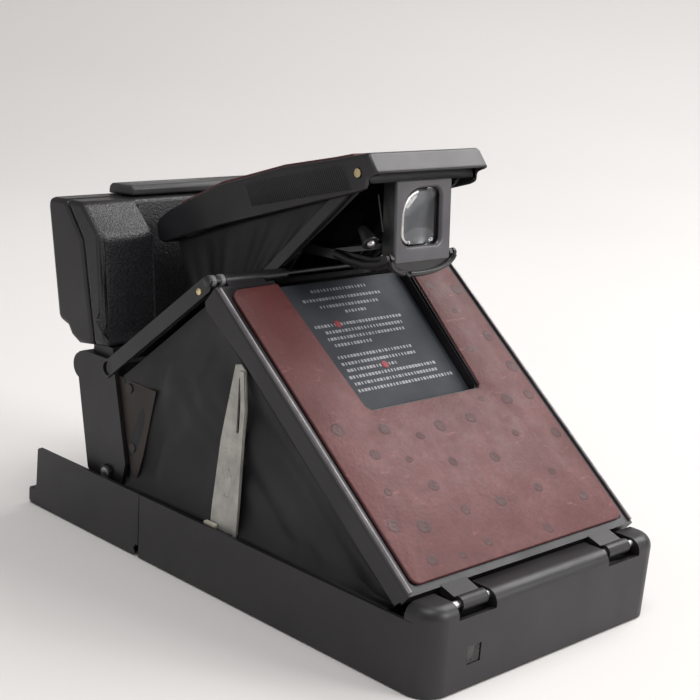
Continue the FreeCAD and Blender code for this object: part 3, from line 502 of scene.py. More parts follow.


# %% [markdown]
# ## Soft edges on the moulded parts
# No moulded or pressed part has a knife edge, and the light runs along the small radii of this
# camera's shells. Each large part gets a merged copy with a live Bevel. The two upper shells, the
# cap and the flash socket have short facets beside long edges, so their bevel isn't clamped. The
# flex strip rides on the front board.

# %% Rounded copies
EDGE_MM = {"base_body": 0.7, "film_door": 0.7, "housing_rear_shell": 0.8, "housing_front_shell": 0.8,
           "mirror_cover": 0.5, "front_plate": 0.3, "erecting_link": 0.15, "cap_leather": 0.2}
FREE_EDGE_MM = {"upper_front_shell": 1.6, "upper_rear_shell": 1.5, "viewfinder_cap": 0.7, "flash_socket": 0.7}
for node, width in EDGE_MM.items():
    rounded_copy(node, width)
for node, width in FREE_EDGE_MM.items():
    rounded_copy(node, width, clamp=False)
flex = rounded_copy("flex_circuit", 0.05, body="board")
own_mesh(flex)
print("rounded copies made")


# %% [markdown]
# ## Tubes and turned shapes
# Wires and beads are a round section swept along a list of points; knobs are turned profiles.

# %% Tube and turning helpers
def tube(points, radius, sides=12, closed=False, squeeze=1.0):
    """A round bar through points given in metres: a ring if closed, else capped at its ends."""
    bm = bmesh.new()
    rings = []
    count = len(points)
    for i, point in enumerate(points):
        before = points[i - 1] if (i > 0 or closed) else point
        after = points[(i + 1) % count] if (i < count - 1 or closed) else point
        along = (after - before).normalized()
        side = along.cross(Vector((1, 0, 0)))
        if side.length < 0.2:
            side = along.cross(Vector((0, 0, 1)))
        side.normalize()
        other = along.cross(side)
        ring = []
        for k in range(sides):
            a = 2 * math.pi * k / sides
            reach = (side * math.cos(a) + other * math.sin(a) * squeeze) * radius * MM
            ring.append(bm.verts.new(point + reach))
        rings.append(ring)
    pairs = list(zip(rings, rings[1:])) + ([(rings[-1], rings[0])] if closed else [])
    for low, high in pairs:
        for k in range(sides):
            n = (k + 1) % sides
            bm.faces.new((low[k], low[n], high[n], high[k]))
    if not closed:
        bm.faces.new(rings[0])
        bm.faces.new(rings[-1])
    return bm


def turned(profile, centre, axis, sides=24):
    """A solid turned from (along, radius) steps in mm about an axis through a centre in metres."""
    bm = bmesh.new()
    axis = Vector(axis).normalized()
    side = axis.orthogonal().normalized()
    other = axis.cross(side)
    rings = []
    for along, radius in profile:
        rings.append([bm.verts.new(centre + axis * along * MM
                                   + (side * math.cos(a) + other * math.sin(a)) * max(radius, 0.001) * MM)
                      for a in (2 * math.pi * k / sides for k in range(sides))])
    for low, high in zip(rings, rings[1:]):
        for k in range(sides):
            n = (k + 1) % sides
            bm.faces.new((low[k], low[n], high[n], high[k]))
    bm.faces.new(rings[0])
    bm.faces.new(rings[-1])
    return bm


# %% [markdown]
# ## Bellows
# The bellows is a thin rubber skin stretched between base, cover and front board. A flat side wall
# would look like a card, so each side is a grid: one edge runs along the base, the other over the
# front plate and down the cover, and creases push the skin in and out between them. Only under the
# front plate does a strip join the two sides; the cover closes the rest.

# %% Bellows skin
SIDE_X = 45.9
INNER_X = 43.6
PLATE_TOP_Y = -8.5
BELLOWS_FOOT = 19.2
BELLOWS_TOP = [(-47.0, 52.6), (-11.0, 82.2), (-9.0, 82.6), (70.5, 20.6)]
CREASES = [((-40.0, 20.0), (-4.0, 80.0), 1.5, 3.4), ((-22.0, 58.0), (8.0, 38.0), 0.8, 2.0),
           ((4.0, 62.0), (58.0, 21.0), 1.3, 3.0), ((-4.0, 52.0), (30.0, 22.0), 0.9, 2.4),
           ((-34.0, 20.0), (-30.0, 62.0), 1.1, 3.0)]


def along_path(path, share):
    """The point at a share of the length of a list of (y, z) points."""
    lengths = [math.dist(a, b) for a, b in zip(path, path[1:])]
    left = share * sum(lengths)
    for (a, b), length in zip(zip(path, path[1:]), lengths):
        if left <= length:
            t = left / length
            return (a[0] + (b[0] - a[0]) * t, a[1] + (b[1] - a[1]) * t)
        left -= length
    return path[-1]


def crease_depth(y, z):
    """How far the skin stands in (+) or out (-) at a point, from the nearest crease lines."""
    depth = 0.0
    for (y0, z0), (y1, z1), deep, wide in CREASES:
        length = math.dist((y0, z0), (y1, z1))
        t = max(0.0, min(1.0, ((y - y0) * (y1 - y0) + (z - z0) * (z1 - z0)) / length ** 2))
        off = math.dist((y, z), (y0 + (y1 - y0) * t, z0 + (z1 - z0) * t))
        lip = 0.45 * math.exp(-((off - 2.2 * wide) / wide) ** 2)
        depth += deep * (math.exp(-(off / wide) ** 2) - lip)
    return depth


def bellows_skin(columns=96, rows=40):
    bm = bmesh.new()
    sides = {}
    for sign in (1, -1):
        grid = []
        for i in range(columns + 1):
            u = i / columns
            foot = (-41.6 + 112.8 * u, BELLOWS_FOOT)
            top = along_path(BELLOWS_TOP, u)
            column = []
            for j in range(rows + 1):
                v = j / rows
                y, z = foot[0] + (top[0] - foot[0]) * v, foot[1] + (top[1] - foot[1]) * v
                edge = min(1.0, 6 * v, 6 * (1 - v))
                x = max(INNER_X, SIDE_X - edge * (0.9 + 0.7 * crease_depth(y, z))) + 2.2 * math.exp(-v * 30)
                column.append(bm.verts.new(straight(sign * x, y, z)))
            grid.append(column)
        sides[sign] = grid
        for a, b in zip(grid, grid[1:]):
            for j in range(rows):
                bm.faces.new((a[j], b[j], b[j + 1], a[j + 1]))
    across = 8
    rims = []
    for left, right in zip(sides[1], sides[-1]):
        ends = left[rows].co, right[rows].co
        rims.append([bm.verts.new(ends[0].lerp(ends[1], k / across)) for k in range(across + 1)])
    for a, b in zip(rims, rims[1:]):
        for k in range(across):
            if a[k].co.y < PLATE_TOP_Y * MM:
                bm.faces.new((a[k], a[k + 1], b[k + 1], b[k]))
    return bm


bellows = piece("bellows_skin", bellows_skin(), rubber_black, "base", smooth=60)
skin = bellows.modifiers.new("skin", "SOLIDIFY")
skin.thickness = 0.5 * MM
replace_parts(bellows, "bellows")
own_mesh(bellows)
print("bellows faces:", len(bellows.data.polygons))


# %% [markdown]
# ## Viewfinder boot
# Under the cap hangs a rubber boot that folds like a tent. Its sides are grids too, with pleats
# that fan out from the low front corner, and its rear edge is turned into a stiff hem.

# %% Boot skin
BOOT_HALF = 19.6
boot_top = [tuple(on_cap(0, a, o) / MM)[1:] for a, o in ((86, -10.6), (60, -8.0), (30, -6.0), (2, -4.0))]
boot_foot = [tuple(on_plate(0, a, 0.3) / MM)[1:] for a in (10.0, 20.0, 34.5)]


def boot_skin(columns=60, rows=24):
    bm = bmesh.new()
    grids = []
    for sign in (1, -1):
        grid = []
        for i in range(columns + 1):
            u = i / columns
            low = along_path(boot_foot, u)
            high = along_path(boot_top, u)
            column = []
            for j in range(rows + 1):
                v = j / rows
                edge = min(1.0, 5 * v, 5 * (1 - v))
                pleat = 0.55 * math.sin(u * 22 + v * 1.5) ** 3 * edge
                hem = 0.9 * math.exp(-((1 - u) * columns / 3.0) ** 2)
                x = BOOT_HALF - 0.6 * edge + pleat + hem
                column.append(bm.verts.new(straight(sign * x, low[0] + (high[0] - low[0]) * v,
                                                    low[1] + (high[1] - low[1]) * v)))
            grid.append(column)
        for a, b in zip(grid, grid[1:]):
            for j in range(rows):
                bm.faces.new((a[j], b[j], b[j + 1], a[j + 1]))
        grids.append(grid)
    right, left = grids
    for j in range(rows):
        bm.faces.new((right[0][j], right[0][j + 1], left[0][j + 1], left[0][j]))
    return bm


boot = piece("boot_skin", boot_skin(), rubber_black, "front_plate", smooth=60)
boot_wall = boot.modifiers.new("skin", "SOLIDIFY")
boot_wall.thickness = 0.7 * MM
boot_wall.offset = -1
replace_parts(boot, "viewfinder_boot")
plate_up = (on_plate(0, 0, 1) - on_plate(0, 0, 0)).normalized()
tuple(on_plate(0, 30, 2.3))
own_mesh(boot)


# %% [markdown]
# ## Leather covering
# The leather is a U: it goes round the recess of the printed plate. Its outline is drawn flat, the
# edge is turned down by a few inset rings so that it looks cut and glued, and the sheet is thin.

# %% Cut leather pieces
def inset(outline, amount):
    """The outline moved inwards by an amount, corner by corner."""
    result = []
    count = len(outline)
    area = sum(outline[i - 1][0] * outline[i][1] - outline[i][0] * outline[i - 1][1] for i in range(count))
    turn = 1 if area > 0 else -1
    for i in range(count):
        before = (Vector(outline[i]) - Vector(outline[i - 1])).normalized()
        after = (Vector(outline[(i + 1) % count]) - Vector(outline[i])).normalized()
        normal = (Vector((-before.y, before.x)) + Vector((-after.y, after.x))).normalized() * turn
        stretch = 1 / max(0.5, normal.dot(Vector((-before.y, before.x)) * turn))
        result.append(Vector(outline[i]) + normal * amount * stretch)
    return result


EDGE_ROLL = [(0.0, -0.9), (0.0, -0.32), (0.12, -0.12), (0.35, 0.0)]


def cut_sheet(outline, lay, height, lift=lambda p: 0.0):
    """A thin sheet whose edge is rolled down; its underside is closed."""
    bm = bmesh.new()
    rings = []
    for amount, drop in EDGE_ROLL:
        ring = inset(outline, amount)
        rings.append([bm.verts.new(lay(p[0], p[1], max(0.05, height + drop) + lift(p))) for p in ring])
    for low, high in zip(rings, rings[1:]):
        for i in range(len(low)):
            j = (i + 1) % len(low)
            bm.faces.new((low[i], low[j], high[j], high[i]))
    top = bm.faces.new(rings[-1])
    bottom = bm.faces.new(rings[0])
    bmesh.ops.triangulate(bm, faces=[top, bottom])
    return bm


LEATHER_TOP_OUT = 0.95
leather_outline = rounded(
    [(46.0, 2.4), (46.0, 101.9), (27.6, 102.4), (24.6, 56.6), (22.8, 55.0), (-22.8, 55.0), (-24.6, 56.6),
     (-28.6, 102.4), (-46.0, 101.9), (-46.0, 2.4)],
    [2.6, 3.6, 0.8, 1.6, 1.2, 1.2, 1.6, 0.8, 3.6, 2.6])


def lifted_edge(p):
    """The left edge has come away a little, half way up."""
    return 0.7 * math.exp(-((p[1] - 66.0) / 13.0) ** 2) * max(0.0, min(1.0, (p[0] - 42.0) / 4.0))


cover_leather = piece("cover_leather", cut_sheet(leather_outline, on_cover, LEATHER_TOP_OUT, lifted_edge),
                      red_leather, "cover", smooth=50)
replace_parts(cover_leather, "leather_panel")
print("leather outline points:", len(leather_outline))


# %% [markdown]
# ## Geometry Nodes: a seeded scatter and a row
# Two small trees make everything that repeats. The scatter places copies of a shape on a surface
# with a fixed seed, and stands each one on its face. The row places copies along a line at an even
# pitch and varies their length. Both end in Realize Instances and Set Material.

# %% Tree builders
def tree_sockets(tree, **kinds):
    """Adds a geometry input and the named ones to a tree; returns its Group Input node."""
    for name, kind in {"Geometry": "Geometry", **kinds}.items():
        tree.interface.new_socket(name=name, in_out="INPUT", socket_type="NodeSocket" + kind)
    tree.interface.new_socket(name="Geometry", in_out="OUTPUT", socket_type="NodeSocketGeometry")
    return tree.nodes.new("NodeGroupInput")


def join(tree, pairs):
    for source, target in pairs:
        tree.links.new(source, target)


def finish_tree(tree, geometry, finish):
    """Realizes the copies, sets their material and ends the tree."""
    realize = tree.nodes.new("GeometryNodeRealizeInstances")
    paint = tree.nodes.new("GeometryNodeSetMaterial")
    paint.inputs["Material"].default_value = finish.material
    output = tree.nodes.new("NodeGroupOutput")
    join(tree, ((geometry, realize.inputs["Geometry"]),
                (realize.outputs["Geometry"], paint.inputs["Geometry"]),
                (paint.outputs["Geometry"], output.inputs["Geometry"])))


def grow(name, tree, base, values, finish, body):
    """Runs a tree on a base mesh and keeps the result as a plain piece."""
    holder = bpy.data.objects.new(name + "_holder", base)
    bpy.context.scene.collection.objects.link(holder)
    modifier = holder.modifiers.new("grow", "NODES")
    modifier.node_group = tree
    for item in tree.interface.items_tree:
        if item.in_out == "INPUT" and item.name in values:
            modifier[item.identifier] = values[item.name]
    bpy.context.view_layer.update()
    evaluated = holder.evaluated_get(bpy.context.evaluated_depsgraph_get())
    mesh = bpy.data.meshes.new_from_object(evaluated)
    mesh.name = name
    bpy.data.objects.remove(holder)
    piece(name, mesh, finish, body)


def scatter_tree(name, shape_collection, finish):
    tree = bpy.data.node_groups.new(name, "GeometryNodeTree")
    given = tree_sockets(tree, Spacing="Float", Density="Float", Seed="Int", Smallest="Float",
                         Largest="Float").outputs
    spread = tree.nodes.new("GeometryNodeDistributePointsOnFaces")
    spread.distribute_method = "POISSON"
    info = tree.nodes.new("GeometryNodeCollectionInfo")
    info.inputs["Collection"].default_value = shape_collection
    info.inputs["Separate Children"].default_value = True
    place = tree.nodes.new("GeometryNodeInstanceOnPoints")
    place.inputs["Pick Instance"].default_value = True
    size = tree.nodes.new("FunctionNodeRandomValue")
    join(tree, ((given["Geometry"], spread.inputs["Mesh"]), (given["Spacing"], spread.inputs["Distance Min"]),
                (given["Density"], spread.inputs["Density Max"]), (given["Seed"], spread.inputs["Seed"]),
                (given["Seed"], size.inputs["Seed"]), (given["Smallest"], size.inputs[2]),
                (given["Largest"], size.inputs[3]), (spread.outputs["Points"], place.inputs["Points"]),
                (spread.outputs["Rotation"], place.inputs["Rotation"]),
                (info.outputs["Instances"], place.inputs["Instance"]),
                (size.outputs[1], place.inputs["Scale"])))
    finish_tree(tree, place.outputs["Instances"], finish)
    return tree


def row_tree(name, finish):
    """Copies of the base shape along a line, every pitch, with a random length."""
    tree = bpy.data.node_groups.new(name, "GeometryNodeTree")
    given = tree_sockets(tree, Count="Int", Start="Vector", Step="Vector", Seed="Int", Shortest="Vector",
                         Longest="Vector").outputs
    line = tree.nodes.new("GeometryNodeMeshLine")
    line.mode = "OFFSET"
    place = tree.nodes.new("GeometryNodeInstanceOnPoints")
    size = tree.nodes.new("FunctionNodeRandomValue")
    size.data_type = "FLOAT_VECTOR"
    join(tree, ((given["Count"], line.inputs["Count"]), (given["Start"], line.inputs["Start Location"]),
                (given["Step"], line.inputs["Offset"]), (line.outputs["Mesh"], place.inputs["Points"]),
                (given["Geometry"], place.inputs["Instance"]), (given["Seed"], size.inputs["Seed"]),
                (given["Shortest"], size.inputs[0]), (given["Longest"], size.inputs[1]),
                (size.outputs[0], place.inputs["Scale"])))
    finish_tree(tree, place.outputs["Instances"], finish)
    return tree


# %% [markdown]
# ## Quill marks
# Each quill left a low ring with a dimple. Three ring shapes of a few dozen faces are scattered
# over the leather, so no two neighbours look alike.

# %% Scatter the quill rings
def ring_mesh(name, radius, height, squash, sides=18):
    """A low volcano with a dimple, standing on its own z axis."""
    profile = [(1.0, -0.05), (0.86, 0.5), (0.72, 1.0), (0.55, 0.75), (0.40, 0.2), (0.24, 0.45), (0.0, 0.7)]
    bm = bmesh.new()
    rings = []
    angles = [2 * math.pi * k / sides for k in range(sides)]
    for share, rise in profile[:-1]:
        wide = radius * share
        painted_pebble_highlights = [Vector((math.cos(a) * wide, math.sin(a) * wide * squash, height * rise)) for a in angles]
        rings.append([bm.verts.new(spot * MM) for spot in painted_pebble_highlights])
    top = bm.verts.new(Vector((0, 0, height * profile[-1][1])) * MM)
    for low, high in zip(rings, rings[1:]):
        for k in range(sides):
            n = (k + 1) % sides
            bm.faces.new((low[k], low[n], high[n], high[k]))
    for k in range(sides):
        bm.faces.new((rings[-1][k], rings[-1][(k + 1) % sides], top))
    mesh = bpy.data.meshes.new(name)
    bm.to_mesh(mesh)
    bm.free()
    mesh.shade_smooth()
    return mesh


QUILLS = (2.5, 0.11, 0.85), (2.1, 0.10, 0.95), (1.7, 0.10, 0.8)
quill_shapes = bpy.data.collections.new("quill_shapes")
for number, quill in enumerate(QUILLS):
    name = "quill_%d" % number
    quill_shapes.objects.link(bpy.data.objects.new(name, ring_mesh(name, *quill)))
field = bmesh.new()
for x0, x1, s0, s1 in ((-43.5, 43.5, 5.0, 52.5), (29.5, 43.5, 53.5, 99.0), (-43.5, -30.0, 53.5, 99.0)):
    field.faces.new([field.verts.new(on_cover(x, s, LEATHER_TOP_OUT)) for x, s in
                     ((x0, s0), (x1, s0), (x1, s1), (x0, s1))])
bmesh.ops.recalc_face_normals(field, faces=field.faces)
if field.faces[:][0].normal.z < 0:
    bmesh.ops.reverse_faces(field, faces=field.faces)
field_mesh = bpy.data.meshes.new("quill_field")
field.to_mesh(field_mesh)
field.free()
grow("quill_marks", scatter_tree("quill_scatter", quill_shapes, quill_mark), field_mesh,
     {"Spacing": 0.0098, "Density": 60000.0, "Seed": 11, "Smallest": 0.75, "Largest": 1.10},
     quill_mark, "cover")


# %% [markdown]
# ## Dashes and dots on the plate
# Each printed line becomes one row of dashes. The row tree is run once for each line, with the
# line's own length, and the two dots are turned discs.

# %% Print the plate
def bar_mesh(name, corners):
    """A closed bar from its eight corner points in metres: one end face, then the other."""
    bm = bmesh.new()
    verts = [bm.verts.new(c) for c in corners]
    for face in ((0, 1, 2, 3), (4, 5, 6, 7), (0, 1, 5, 4), (1, 2, 6, 5), (2, 3, 7, 6), (3, 0, 4, 7)):
        bm.faces.new([verts[k] for k in face])
    bmesh.ops.recalc_face_normals(bm, faces=bm.faces)
    mesh = bpy.data.meshes.new(name)
    bm.to_mesh(mesh)
    bm.free()
    return mesh


def bar_on(lay, length, across, tall):
    """A bar centred on its own origin but lying on a slope, so that copies need no turning."""
    zero = lay(0, 0, 0)
    steps = [(-1, -1, 0), (1, -1, 0), (1, 1, 0), (-1, 1, 0), (-1, -1, 1), (1, -1, 1), (1, 1, 1), (-1, 1, 1)]
    return [lay(a * length / 2, b * across / 2, c * tall) - zero for a, b, c in steps]


PLATE_OUT = -3.12
HEADER_ROWS = [(100.6, 14, -10), (97.4, 19, -14), (94.6, 15, -11), (92.0, 6, -4)]
ROW_PITCH = 2.42
FIRST_BLOCK = [(21, -16), (19, -15), (19, -14), (18, 2)]
SECOND_BLOCK = [(20, -12), (20, -12), (20, -2), (20, -17), (20, -16), (20, -21)]
print_lines = HEADER_ROWS + [(87.8 - ROW_PITCH * k, *ends) for k, ends in enumerate(FIRST_BLOCK)]
print_lines += [(76.3 - ROW_PITCH * k, *ends) for k, ends in enumerate(SECOND_BLOCK)]
dash_row = row_tree("dash_row", print_pale)
dash = bar_mesh("dash", bar_on(on_cover, 0.95, 1.0, 0.04))
DASH_PITCH = 1.32
for number, (along, x1, x0) in enumerate(print_lines):
    grow("dash_line_%d" % number, dash_row, dash.copy(),
         {"Count": int((x1 - x0) / DASH_PITCH), "Start": on_cover(x0, along, PLATE_OUT),
          "Step": (DASH_PITCH * MM, 0, 0), "Seed": 40 + number, "Shortest": (0.45, 0.9, 1),
          "Longest": (1.15, 1.15, 1)}, print_pale, "cover")
out_of_cover = (on_cover(0, 0, 1) - on_cover(0, 0, 0)).normalized()
for number, (x, along) in enumerate(((10.5, 87.9), (2.6, 71.4))):
    dot = turned([(0, 1.25), (0.10, 1.25), (0.14, 1.05)], on_cover(x, along, PLATE_OUT - 0.02), out_of_cover)
    piece("red_dot_%d" % number, dot, print_red, "cover")


# %% [markdown]
# ## Grip ribs
# The cap's sides have a fine ribbed grip. One slanting rib is copied along the cap at an even
# pitch on each side.

# %% Ribs on the cap
CAP_SIDE_X = 23.5
RIB_COUNT = 54
rib_row = row_tree("grip_ribs", shell_black)
rib_step = on_cap(0, 1.0, 0) - on_cap(0, 0, 0)
for side, sign in (("left", 1), ("right", -1)):
    zero = on_cap(0, 0, 0)
    corners = [on_cap(sign * x, a, o) - zero for x, a, o in
               ((0, 0, -4.2), (0, 0.42, -4.2), (0, 2.6, 3.4), (0, 2.2, 3.4),
                (0.22, 0.1, -4.1), (0.22, 0.3, -4.1), (0.22, 2.48, 3.3), (0.22, 2.3, 3.3))]
    grow("grip_ribs_" + side, rib_row, bar_mesh("rib", corners),
         {"Count": RIB_COUNT, "Start": on_cap(sign * CAP_SIDE_X, 3.4, 0), "Step": rib_step * 0.78,
          "Seed": 5, "Shortest": (1, 1, 1), "Longest": (1, 1, 1)}, shell_black, "cap")


# %% [markdown]
# ## Eyepiece
# The eyepiece has a grey face round its window, a dark box behind it, and a thick lens over a grey
# backing. A bright metal bar along the bowed side of the lens is a painted glint. Face, box and lens
# are lofted: rounded outlines at a few depths.

# %% Eyepiece face, box and lens
FRAME_FOOT = -1.5


def window_outline(grow_by):
    """The window: straight on one side, bowed on the other, with round corners."""
    low, high = 2.9 - grow_by, EYE_LEN - 2.2 + grow_by
    left, right = 9.2 + grow_by, -7.4 - grow_by
    return rounded([(left, low), (left, high), (right, high), (right, low)],
                   [max(0.4, r + grow_by) for r in (4.2, 8.4, 2.8, 2.4)], 10)


def frame_outline(inset_by):
    """The outside of the frame: nearly a plain rectangle."""
    low, high, half = FRAME_FOOT + inset_by, EYE_LEN - inset_by, 11.6 - inset_by
    return rounded([(half, low), (half, high), (-half, high), (-half, low)], [0.6] * 4, 10)


def lofted(rings, lay, cap_last=False):
    """A skin through outlines at given depths; either capped at both ends or closed on itself."""
    bm = bmesh.new()
    made = [[bm.verts.new(lay(p[0], p[1], out)) for p in ring] for ring, out in rings]
    pairs = list(zip(made, made[1:])) + ([] if cap_last else [(made[-1], made[0])])
    for low, high in pairs:
        for i in range(len(low)):
            j = (i + 1) % len(low)
            bm.faces.new((low[i], low[j], high[j], high[i]))
    if cap_last:
        bm.faces.new(made[-1])
        bm.faces.new(made[0])
    return bm


EYE_BACK = 3.8
SEAM_OUT = -0.5
hood_rings = [(frame_outline(0.0), SEAM_OUT), (frame_outline(0.0), -1.1), (frame_outline(0.3), -1.4)]
hood_rings += [(window_outline(g), out) for g, out in
               ((0.9, -1.4), (0.5, -1.3), (0.15, -1.0), (-0.1, SEAM_OUT))]
hood = piece("eyepiece_face", lofted(hood_rings, on_eye), bezel_metal, "eyepiece", smooth=35)
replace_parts(hood, "eyepiece_frame")
BOX_FOOT = 0.6
box_outline = [Vector((p.x, max(p.y, BOX_FOOT))) for p in frame_outline(0.05)]
box_rings = [(box_outline, SEAM_OUT), (box_outline, EYE_BACK), (window_outline(-0.2), EYE_BACK),
             (window_outline(-0.2), SEAM_OUT)]
piece("eyepiece_box", lofted(box_rings, on_eye), metal_black, "eyepiece", smooth=35)
backing = slab_mesh(window_outline(-0.1), on_eye, EYE_BACK - 0.6, EYE_BACK - 0.2)
piece("lens_backing", backing, lens_grey, "eyepiece")
# A bright bar along the bowed side of the window is a painted glint on the lens.
bow = [p for p in window_outline(-1.2) if p.x > 1.5]
piece("lens_edge", tube([on_eye(p.x, p.y, 0.6) for p in bow], 1.35, 12, squeeze=0.6), glint_metal, "eyepiece",
      smooth=60)
lens_steps = [(-0.2, 1.6), (-0.2, 0.9), (-0.6, 0.2), (-1.6, -0.3), (-3.2, -0.6), (-5.0, -0.75)]
glass = lofted([(window_outline(g), out) for g, out in lens_steps], on_eye, cap_last=True)
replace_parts(piece("eyepiece_glass", glass, lens_clear, "eyepiece", smooth=60), "eyepiece_lens")


# %% [markdown]
# ## Erecting link
# The link is pressed sheet metal: one long edge is folded out as a flange, the top has a slot,
# and an arrow is pressed into the foot. The CAD blade stays, and the flange and the arrow are laid
# on it.

# %% Link details
on_link = side_map(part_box("erecting_link")[1].x / MM)
flange_path = [(11.3, 12.5), (11.2, 47.6), (11.5, 57.2), (10.1, 68.4)]
flange_outline = ([(y - 1.7, z) for y, z in flange_path] + [(y, z) for y, z in reversed(flange_path)])
flange = slab_mesh(flange_outline, on_link, 0.0, 0.45)
soften(piece("link_flange", flange, link_metal, "link"), 0.15)
arrow = [(4.6, 30.2), (5.4, 33.0), (4.3, 35.6), (5.5, 35.9), (6.0, 38.8), (7.6, 36.0), (6.9, 35.8),
         (7.1, 33.0), (6.4, 30.0)]
arrow_path = [on_link(y, z, 0.02) for y, z in arrow]
piece("link_arrow", tube(arrow_path, 0.13, 6, closed=True), steel, "link")


# %% [markdown]
# ## Small hardware
# Beads, catches, knobs and wires that the CAD solid leaves out: the rounded edges of the
# mirror cover, whose brightness is a painted highlight, the little catch by the link, the bell knob
# beside the eyepiece and its spring.

# %% Cover edge beads
for side, sign in (("left", 1), ("right", -1)):
    path = [on_cover(sign * 48.5, s, 0.15) for s in (0.8, 30.0, 60.0, 90.0, 103.2)]
    # The bead's lighter metal is a painted highlight on the cover's black rounded edge.
    bead = tube(path, 0.8, 16, squeeze=0.6)
    piece("cover_edge_bead_" + side, bead, edge_highlight_metal, "cover", smooth=60)
rim_path = rounded([(27.9, 102.6), (24.7, 55.2), (-24.7, 55.2), (-28.2, 102.6)], [0, 2.6, 2.6, 0], 8)
piece("recess_rim", tube([on_cover(p[0], p[1], 0.05) for p in rim_path], 0.34, 10), metal_black, "cover",
      smooth=60)


# %% Hinge sleeves and arm rivets
for side, sign in (("left", 1), ("right", -1)):
    sleeves = ((50.1, 49.3, 1.55, metal_black, "front_plate"), (49.2, 47.6, 1.75, grey_sleeve, "front_plate"),
               (47.5, 45.9, 1.45, metal_black, "cover"), (45.8, 44.2, 1.75, grey_sleeve, "front_plate"),
               (44.1, 26.0, 1.6, metal_black, "cover"))
    for number, (outer, inner, radius, finish, body) in enumerate(sleeves):
        width = outer - inner
        steps = [(0, radius - 0.2), (0.15, radius), (width - 0.15, radius), (width, radius - 0.2)]
        sleeve = turned(steps, straight(sign * outer, *HINGE_B), (-sign, 0, 0))
        piece("hinge_sleeve_%s_%d" % (side, number), sleeve, finish, body)
    dome = [(0, 1.05), (0.25, 1.0), (0.45, 0.7), (0.55, 0.2)]
    rivet = turned(dome, straight(sign * 49.5, -9.6, 87.4), (sign, 0, 0))
    piece("arm_rivet_%s" % side, rivet, brass, "front_plate")


# %% Catch, bell knob and spring
catch_outline = rounded([(-1.6, 19.6), (3.2, 19.6), (3.2, 21.0), (-1.6, 21.0)], [0.3] * 4, 3)
catch = slab_mesh(catch_outline, side_map(48.4), 0, 1.1)
piece("link_catch", catch, white_plastic, "base")
bell_spot = straight(15.4, 21.6, 106.6)
bell_lean = (0.15, 0.75, -0.55)
bell = [(-3.4, 1.2), (-3.0, 1.5), (-1.0, 1.7), (1.2, 2.2), (2.4, 2.5), (2.8, 2.3)]
piece("bell_knob", turned(bell, bell_spot, bell_lean), metal_black, "eyepiece")
tip = [(2.2, 1.3), (3.0, 1.3), (3.6, 0.9), (3.8, 0.3)]
piece("bell_tip", turned(tip, bell_spot, bell_lean), steel, "eyepiece")
spring = [straight(13.2, 25.6 - 0.5 * k, 108.5 + 1.7 * k) for k in range(7)]
piece("spring_wire", tube(spring, 0.22, 8), metal_black, "eyepiece")


# %% Cradle of the eyepiece
def cradle_spot(degrees):
    """(across, up) of a point on the cradle's half-oval front edge."""
    return 13.6 * math.cos(math.radians(degrees)), 101.0 - 4.9 * math.sin(math.radians(degrees))


bow = []
for k in range(16):
    x, z = cradle_spot(12 * k)
    bow.append(straight(x, 29.6 - 0.9 * math.sin(math.radians(12 * k)), z))
pan_outline = [cradle_spot(15 * k) for k in range(13)]
pan = slab_mesh(pan_outline, lambda x, z, out: straight(x, 28.6 + out, z), -0.5, 0.5)
piece("cradle_pan", pan, metal_black, "yoke")
piece("cradle_bow", tube(bow, 1.15, 12, squeeze=0.8), metal_black, "yoke", smooth=60)
RAIL = (8.0, 99.0), (14.0, 97.9), (20.0, 97.8), (25.5, 98.9), (29.2, 100.9)
for side, sign in (("left", 1), ("right", -1)):
    rail = [straight(sign * 13.7, y, z) for y, z in RAIL]
    arm = tube(rail, 1.35, 12, squeeze=0.7)
    piece("cradle_side_" + side, arm, metal_black, "yoke", smooth=60)


# %% [markdown]
# ## Stage, light and camera
# A pale seamless floor curves up beyond the object, on the side away from the viewer. Broad soft
# light comes from behind and above on the eyepiece side, which is why the rear faces are lighter
# than the side.

# %% Floor
def backdrop():
    """One sheet: flat under the object, then a wide curve up on the side away from the camera."""
    bm = bmesh.new()
    away = Vector((-0.72, -0.69, 0))
    across = Vector((-away.y, away.x, 0))
    profile = [(-2.5, 0.0), (-1.0, 0.0), (0.0, 0.0), (0.7, 0.0)]
    for k in range(1, 11):
        a = math.radians(9 * k)
        profile.append((0.7 + 1.2 * math.sin(a), 1.2 - 1.2 * math.cos(a)))
    profile += [(1.9, 4.0)]
    rows = [[bm.verts.new(away * d + across * s * 4.0 + Vector((0, 0, h - 0.0004))) for s in (-1, 1)]
            for d, h in profile]
    for a, b in zip(rows, rows[1:]):
        bm.faces.new((a[0], a[1], b[1], b[0]))
    bmesh.ops.recalc_face_normals(bm, faces=bm.faces)
    mesh = bpy.data.meshes.new("seamless_floor")
    bm.to_mesh(mesh)
    bm.free()
    mesh.shade_smooth()
    return mesh
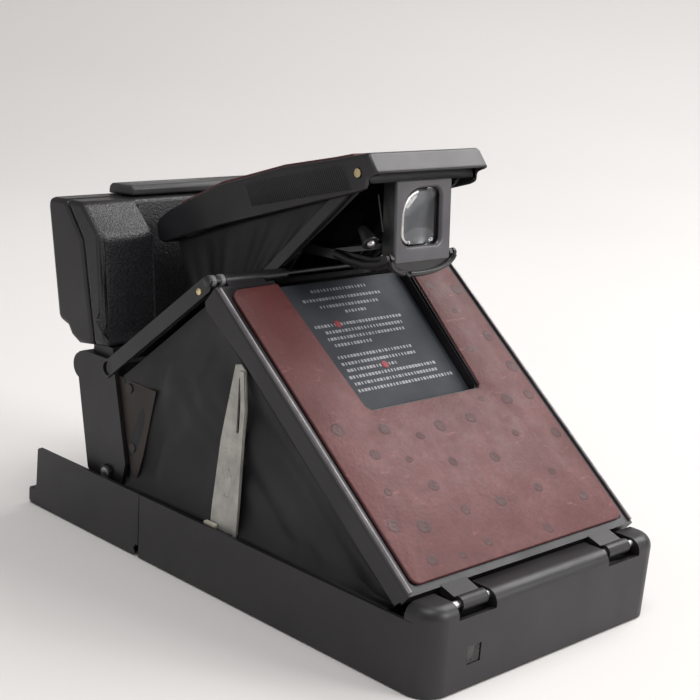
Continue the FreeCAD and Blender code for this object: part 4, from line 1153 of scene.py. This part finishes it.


# The paper's colour turns darker high on the curve and towards one side: painted shade.
paper = Finish("seamless_paper", 0.85)
shade = paper.nodes.new("ShaderNodeVectorMath")
shade.operation = "DOT_PRODUCT"
shade.inputs[1].default_value = (-0.45, 0.45, -0.6)
paper.links.new(paper.coordinates, shade.inputs[0])
paper.colour(paper.mix(paper.span(shade.outputs["Value"], 0.0, 1.0, -0.70, -0.36), (0.44, 0.425, 0.415, 1.0),
                       paper.ramp(paper.noise(400.0, 2.0), [(0.3, (0.80, 0.785, 0.772)),
                                                            (0.7, (0.82, 0.806, 0.794))])))
paper.bump(paper.noise(0.9, 3.0), 0.02, 0.3)
floor = bpy.data.objects.new("seamless_floor", backdrop())
floor.data.materials.append(paper.material)
bpy.context.scene.collection.objects.link(floor)


# %% Lights
def soft_light(name, place, target, size, power, colour):
    lamp = bpy.data.lights.new(name, "AREA")
    lamp.shape = "DISK"
    lamp.size = size
    lamp.energy = power
    lamp.color = colour
    thing = bpy.data.objects.new(name, lamp)
    thing.location = place
    thing.rotation_euler = (Vector(target) - Vector(place)).to_track_quat("-Z", "Y").to_euler()
    bpy.context.scene.collection.objects.link(thing)


MIDDLE = (0.0, 0.0, 0.06)
soft_light("key_top_right", (-0.95, 0.12, 1.0), MIDDLE, 0.9, 10.5, (1.0, 0.985, 0.975))
soft_light("behind_right", (-0.55, 1.05, 0.55), MIDDLE, 0.6, 8.0, (1.0, 0.985, 0.965))
soft_light("top_back", (0.25, 0.3, 1.3), MIDDLE, 0.7, 6.0, (1.0, 0.98, 0.97))
soft_light("left_fill", (1.2, -0.1, 0.4), MIDDLE, 0.9, 1.0, (0.97, 0.98, 1.0))
world = bpy.data.worlds.new("soft_room")
world.use_nodes = True
world.node_tree.nodes["Background"].inputs["Color"].default_value = (0.95, 0.94, 0.94, 1)
world.node_tree.nodes["Background"].inputs["Strength"].default_value = 0.42
bpy.context.scene.world = world
bpy.context.scene.view_settings.view_transform = "Standard"


# %% Camera
camera_data = bpy.data.cameras.new("camera")
camera_data.lens = 81.07
camera_data.sensor_width = 36.0
camera = bpy.data.objects.new("camera", camera_data)
right = Vector((-0.70404626, 0.70558102, 0.08046292))
up = Vector((-0.11967763, -0.22956722, 0.96590691))
back = Vector((0.69999723, 0.67041354, 0.24606821))
turn = Matrix((right, up, back)).transposed().to_4x4()
camera.matrix_world = Matrix.Translation((0.334386, 0.324232, 0.184886)) @ turn
bpy.context.scene.collection.objects.link(camera)
bpy.context.scene.camera = camera
